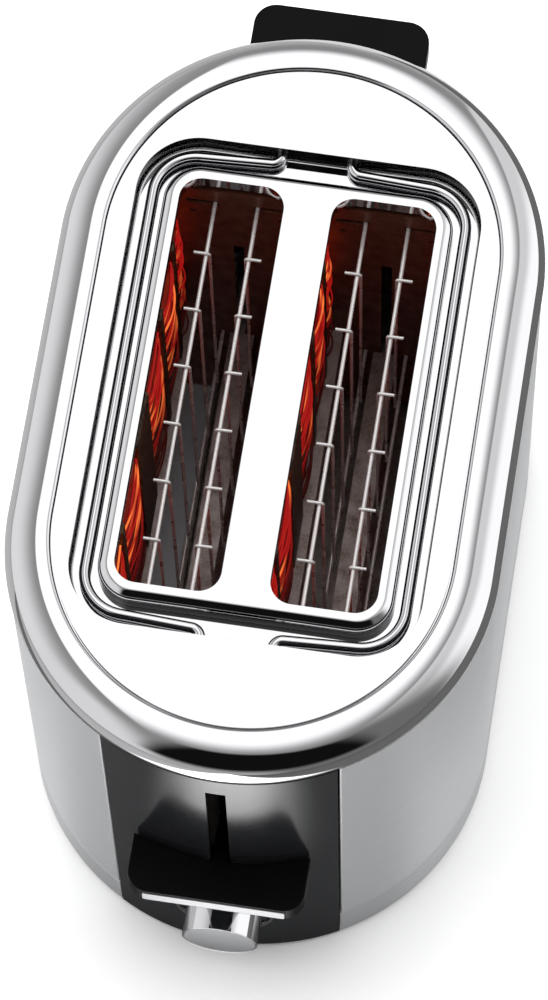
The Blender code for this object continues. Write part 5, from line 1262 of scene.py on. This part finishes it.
@dataclass
class BreadChamber:
    """What shows through the slots: wire guides, and heaters with their strips."""

    slot_x: float = 26.85 * MM
    wire_offset: float = 7.6 * MM
    top_z: float = 179.0 * MM
    low_z: float = 64.0 * MM
    end_y: float = 78.6 * MM
    uprights: int = 6
    span: float = 108.8 * MM
    shift: float = 2.4 * MM
    hook: float = 4.4 * MM
    weld: float = 1.2 * MM
    wire: float = 0.75 * MM
    upright: float = 0.6 * MM
    upright_bend: float = 1.0 * MM
    board_offset: float = 21.8 * MM
    board_half: float = 0.6 * MM
    board_low: float = 80.3 * MM
    board_high: float = 182.0 * MM
    notch_y: float = 71.5 * MM
    notch_margin: float = 6.0 * MM
    tab_y: float = 76.7 * MM
    clip_gap: float = 0.05 * MM
    clip_height: float = 2.0 * MM
    clip_margin: float = 2.0 * MM
    turns: int = 16
    wire_margin: float = 9.0 * MM
    strand_radius: float = 0.36 * MM
    strand_gap: float = 0.3 * MM
    # Slack of the strands in millimetres, and how it changes from turn to turn and span to span.
    sag: float = 1.6
    bulge: float = 1.3
    bulge_swing: float = 0.9
    lean: float = 0.7
    waves: Pair = (2.4, 1.7)
    # Middle and half width of each mica strip that holds the wire.
    supports: tuple[Pair, ...] = ((-49.5 * MM, 2.0 * MM), (-8.5 * MM, 10.5 * MM),
                                  (31.5 * MM, 2.5 * MM), (58.0 * MM, 2.0 * MM))

    def make_guide(self, name: str, side: int, opening: int) -> None:
        """Wire grid beside a slot: two long wires and bent uprights welded to them."""
        wire_x = side * self.slot_x + opening * self.wire_offset
        upright_x = wire_x - opening * self.weld
        wires = [bent_wire(f"{name}_wire_{index}", [(wire_x, -self.end_y, z),
                                                    (wire_x, self.end_y, z)], [], self.wire)
                 for index, z in enumerate((self.top_z, self.low_z))]
        hook_z = self.top_z + self.weld
        for index in range(self.uprights):
            y = self.span * (index / (self.uprights - 1) - 0.5) + self.shift
            corners = [(upright_x, y, self.low_z - MM), (upright_x, y, hook_z),
                       (wire_x + opening * self.hook, y, hook_z)]
            wires.append(bent_wire(f"{name}_upright_{index}", corners, [self.upright_bend],
                                   self.upright, 12, 5))
        grid = shade(join_pieces(wires, "wire_grid_" + name), 60.0)
        place_piece(grid, GUIDE_CHROME, "guide_" + name, "bread_guide_" + name)

    def winding_points(self, x: float, inward: int) -> list[Vector]:
        """Path of a heater wire: turns round the board, slack between the strips.

        Args:
            x: Place of the board.
            inward: Side of the board that faces the slot.

        Returns:
            Points along the wire, from the board's foot to its head.
        """
        reach = self.board_half + self.strand_gap + self.strand_radius
        low = self.board_low + self.wire_margin
        pitch = (self.board_high - self.wire_margin - low) / self.turns
        stops = [-self.notch_y, *(y + way * half for y, half in self.supports for way in (-1, 1)),
                 self.notch_y]
        points = []
        for turn in range(self.turns):
            for passed, (face, way) in enumerate(((inward, 1), (-inward, -1))):
                for index, (start, stop) in enumerate(zip(stops[::way], stops[::way][1:])):
                    held = index % 2 == 1
                    count = 2 if held else 10
                    wave = math.sin(self.waves[0] * turn + self.waves[1] * index)
                    for share in (step / count for step in range(count)):
                        y = start + (stop - start) * share
                        slack = 0.0 if held else 4 * share * (1 - share) * MM
                        done = (way * y + self.notch_y) / (2 * self.notch_y)
                        climb = (turn + (done + passed) / 2) * pitch
                        lean = 1 + self.lean * wave * (share - 0.5)
                        bulge = self.bulge + self.bulge_swing * wave if face == inward else 0.0
                        points.append(Vector((x + face * (reach + bulge * lean * slack), y,
                                              low + climb - (self.sag + wave) * slack)))
                for bend in (math.pi * step / 4 for step in range(1, 4)):
                    points.append(Vector((x + face * reach * math.cos(bend),
                                          way * (self.notch_y + reach * math.sin(bend)),
                                          points[-1].z)))
        return points

    def make_heater(self, name: str, x: float, inward: int) -> None:
        """Mica board with its notched ends, the wire round it and the strips that hold it."""
        board = block("board_" + name, (x - self.board_half, -self.tab_y, self.board_low),
                      (x + self.board_half, self.tab_y, self.board_high))
        for end in ENDS.values():
            carve(board, block("notch",
                               (x - MM, end * self.notch_y, self.board_low + self.notch_margin),
                               (x + MM, end * (self.tab_y + MM),
                                self.board_high - self.notch_margin)))
        round_edges(board, 0.12 * MM, 2)
        place_piece(board, MICA, "root", "mica_board_" + name)
        wire = strand("heater_wire_" + name, self.winding_points(x, inward), self.strand_radius)
        place_piece(wire, HOT_WIRE, "root", "heater_winding_" + name)
        near = x + inward * (self.board_half + self.clip_gap)
        far = x + inward * (self.board_half + self.clip_height)
        clips = [block(f"clip_{name}_{index}", (near, y - half, self.board_low + self.clip_margin),
                       (far, y + half, self.board_high - self.clip_margin))
                 for index, (y, half) in enumerate(self.supports)]
        strips = round_edges(join_pieces(clips, "mica_clips_" + name), 0.25 * MM, 2)
        place_piece(strips, MICA_STRIP, "root")

    def build(self) -> None:
        """Make the guides and the heaters."""
        places = (("left", "outer", LEFT), ("left", "inner", RIGHT),
                  ("right", "inner", LEFT), ("right", "outer", RIGHT))
        for side, where, opening in places:
            self.make_guide(f"{side}_{where}", SIDES[side], opening)
        for side, where, away in places:
            self.make_heater(f"{where}_{side}",
                             SIDES[side] * self.slot_x + away * self.board_offset, -away)


# Pieces whose frame shapes are right: what shows dimly in the slots, and what is hidden.
WORKINGS = {
    "knob_shaft": ROD_STEEL, "browning_control": SHEET,
    "front_end_plate": HOT_SHEET, "back_end_plate": HOT_SHEET,
    "left_reflector": SHELF_SHEET, "right_reflector": SHELF_SHEET, "centre_rail": SHELF_SHEET,
    "bread_carrier_left": SHEET, "bread_carrier_right": SHEET,
    "carriage_block": NYLON, "front_guide_rod": ROD_STEEL, "back_guide_rod": ROD_STEEL,
    "lift_spring": ROD_STEEL, "latch_keeper": SHEET, "magnet_core": SHEET,
    "magnet_coil": COPPER, "circuit_board": EPOXY, "rack_cam_plate": SHEET,
    "rack_crank_left": SHEET, "rack_crank_right": SHEET, "back_rod_bracket": SHEET,
    "crumb_tray": SHEET,
}


# The room as polished surfaces mirror it, over grey walls.
ROOM_LEVEL = 0.30
ROOM = (
    # The floor and the low part of the walls, lighter.
    Patch(0.5, ((TO_TOP, 0.3, -0.1),)),
    # A light wall on the left.
    Patch(0.85, ((TO_LEFT, 0.3, 0.95),)),
    # A wall on the right, brighter at its side, that ends towards the front.
    Patch(0.75, ((TO_RIGHT, 0.32, 0.37), (TO_BACK, -0.25, 0.15))),
    Patch(1.2, ((TO_RIGHT, 0.55, 0.8), (TO_BACK, -0.25, 0.15))),
    # The corners beside the camera, light on the left and dark on the right.
    Patch(0.8, ((TO_LEFT, 0.3, 0.6), (TO_FRONT, 0.1, 0.4))),
    Patch(0.17, ((TO_RIGHT, 0.1, 0.4), (TO_FRONT, 0.15, 0.35))),
    # A dark wall behind the camera, between two headings and clear of the floor.
    Patch(0.006, (((0, -0.934, -0.358), -0.05, 0.05), (heading(28), -0.08, 0.08),
                  (heading(132), -0.08, 0.08), (TO_TOP, 0.12, 0.36))),
    # A broad lamp overhead, with one sharp side and one soft one.
    Patch(1.28, ((TO_RIGHT, -0.31, -0.27), (TO_LEFT, -0.36, 0.03), (rise(6), -0.26, 0.24),
                 (rise(126), -0.2, 0.18))),
)
# The room as it lights matt surfaces: even, brighter on the left and dim in front.
SOFT_LEVEL = 0.88
SOFT_ROOM = (Patch(1.4, (((-1, -0.2, 0), -0.1, 0.7),)),
             Patch(0.12, (((0.25, -1, 0.1), 0.0, 0.6),)))
# Level of the world where the camera sees past the table.
OPEN_LEVEL = 1.0

# The table where the chrome and the panels mirror it: painted shade, with painted light on
# the left, in a lane under the toaster and in a spot in front.
MIRRORED_TABLE_SHADE = 0.14
LANE = ((TO_LEFT, -0.14, -0.11), (TO_RIGHT, -0.14, -0.11))
TABLE_PAINTED_LIGHT = (
    # Painted light on the left.
    Patch(0.5, ((TO_LEFT, 0.05, 0.15),)),
    # A lane of painted light under the toaster, from front to back.
    Patch(0.75, LANE),
    # Painted shade right in front, and stronger painted light further off.
    Patch(0.14, ((TO_FRONT, 0.10, 0.13), (TO_BACK, -0.26, -0.20))),
    Patch(1.8, (*LANE, (TO_FRONT, 0.22, 0.30))),
    # The bright spot that the lower part of the front panel mirrors.
    Patch(3.0, ((TO_LEFT, -0.075, -0.01), (TO_RIGHT, -0.075, -0.01), (TO_FRONT, 0.155, 0.205))),
)


@dataclass
class Studio:
    """White table, soft overhead light and the camera."""

    camera_place: Triple = (0.1350, -0.7029, 1.9324)
    camera_right: Triple = (0.98785, 0.15470, -0.01485)
    camera_up: Triple = (-0.13880, 0.92124, 0.36343)
    lens: float = 196.2
    sensor: float = 36.0
    clip: Pair = (0.05, 20.0)
    lamp_place: Triple = (0.1, 0.2, 2.4)
    lamp_size: float = 2.4
    lamp_power: float = 30.0
    table_size: float = 12.0
    # Brightness of the table: above white to the camera, so that only its shadow shows.
    table_seen: float = 1.34
    table_matt: float = 0.9

    def make_camera(self) -> None:
        """Long lens, high above the front, a little to the right."""
        right = Vector(self.camera_right).normalized()
        up = Vector(self.camera_up).normalized()
        bpy.ops.object.camera_add(location=self.camera_place)
        camera = bpy.context.object
        camera.name = "camera"
        camera.rotation_euler = Matrix((right, up, right.cross(up))).transposed().to_euler()
        camera.data.lens = self.lens
        camera.data.sensor_width = self.sensor
        camera.data.clip_start, camera.data.clip_end = self.clip
        bpy.context.scene.camera = camera

    def make_world(self) -> None:
        """Studio walls, at different levels for mirrors, for matt surfaces and for the camera."""
        world = bpy.data.worlds.new("studio")
        bpy.context.scene.world = world
        world.use_nodes = True
        tree = world.node_tree
        tree.nodes.clear()
        graph = Graph(tree, add_node(tree, "ShaderNodeTexCoord").outputs["Generated"])
        ray = add_node(tree, "ShaderNodeLightPath").outputs
        level = graph.mix("FLOAT", ray["Is Diffuse Ray"], graph.paint(ROOM_LEVEL, ROOM),
                          graph.paint(SOFT_LEVEL, SOFT_ROOM))
        level = graph.mix("FLOAT", ray["Is Camera Ray"], level, OPEN_LEVEL)
        background = add_node(tree, "ShaderNodeBackground", links={"Strength": level},
                              Color=linear("#FFFFFF"))
        add_node(tree, "ShaderNodeOutputWorld", links={"Surface": background.outputs[0]})

    def make_lamp(self) -> None:
        """Large soft lamp overhead, for matt surfaces; the chrome mirrors the studio instead."""
        bpy.ops.object.light_add(type="AREA", location=self.lamp_place)
        lamp = bpy.context.object
        lamp.name = "overhead_softbox"
        lamp.data.shape = "SQUARE"
        lamp.data.size = self.lamp_size
        lamp.data.energy = self.lamp_power
        lamp.visible_glossy = lamp.visible_camera = False

    def make_table(self) -> None:
        """Table of matt laminate: white with a soft shadow to the camera, painted light and shade
        to mirrors.
        """
        bpy.ops.mesh.primitive_plane_add(size=self.table_size, location=(0, 0, 0))
        table = bpy.context.object
        table.name = "table"
        material = bpy.data.materials.new("matt_white_laminate")
        material.use_nodes = True
        tree = material.node_tree
        shader = tree.nodes["Principled BSDF"]
        shader.inputs["Roughness"].default_value = 0.9
        shader.inputs["Specular IOR Level"].default_value = 0.1
        graph = Graph(tree, add_node(tree, "ShaderNodeTexCoord").outputs["Object"], shader)
        ray = add_node(tree, "ShaderNodeLightPath").outputs
        # To mirrors the table shows painted light and shade; to the camera it is white with its
        # real shadow.
        level = graph.mix("FLOAT", ray["Is Camera Ray"], graph.paint(MIRRORED_TABLE_SHADE, TABLE_PAINTED_LIGHT),
                          self.table_seen)
        graph.feed("Base Color", graph.mix("FLOAT", ray["Is Diffuse Ray"], level,
                                           self.table_matt))
        table.data.materials.append(material)

    def build(self) -> None:
        """Set up camera, world, table and the plain view transform."""
        self.make_camera()
        self.make_world()
        self.make_lamp()
        self.make_table()
        bpy.context.scene.view_settings.view_transform = "Standard"


def main() -> None:
    """Build the studio and every sub-assembly, and give the remaining frame nodes their finishes.
    """
    logging.basicConfig(level=logging.INFO, format="%(message)s")
    rack = BunRack()
    for assembly in (
            Studio(), TopTrim(rack), rack, OuterCase(),
            Lever("bread_lever", "carriage", FRONT, 104.5 * MM, 118.3 * MM),
            Lever("rack_lever", "rack_slider", BACK, 185.0 * MM, 122.3 * MM),
            BrowningKnob(), BreadChamber()):
        assembly.build()
    for name, finish in WORKINGS.items():
        dress_node(name, finish)


if __name__ == "__main__":
    main()
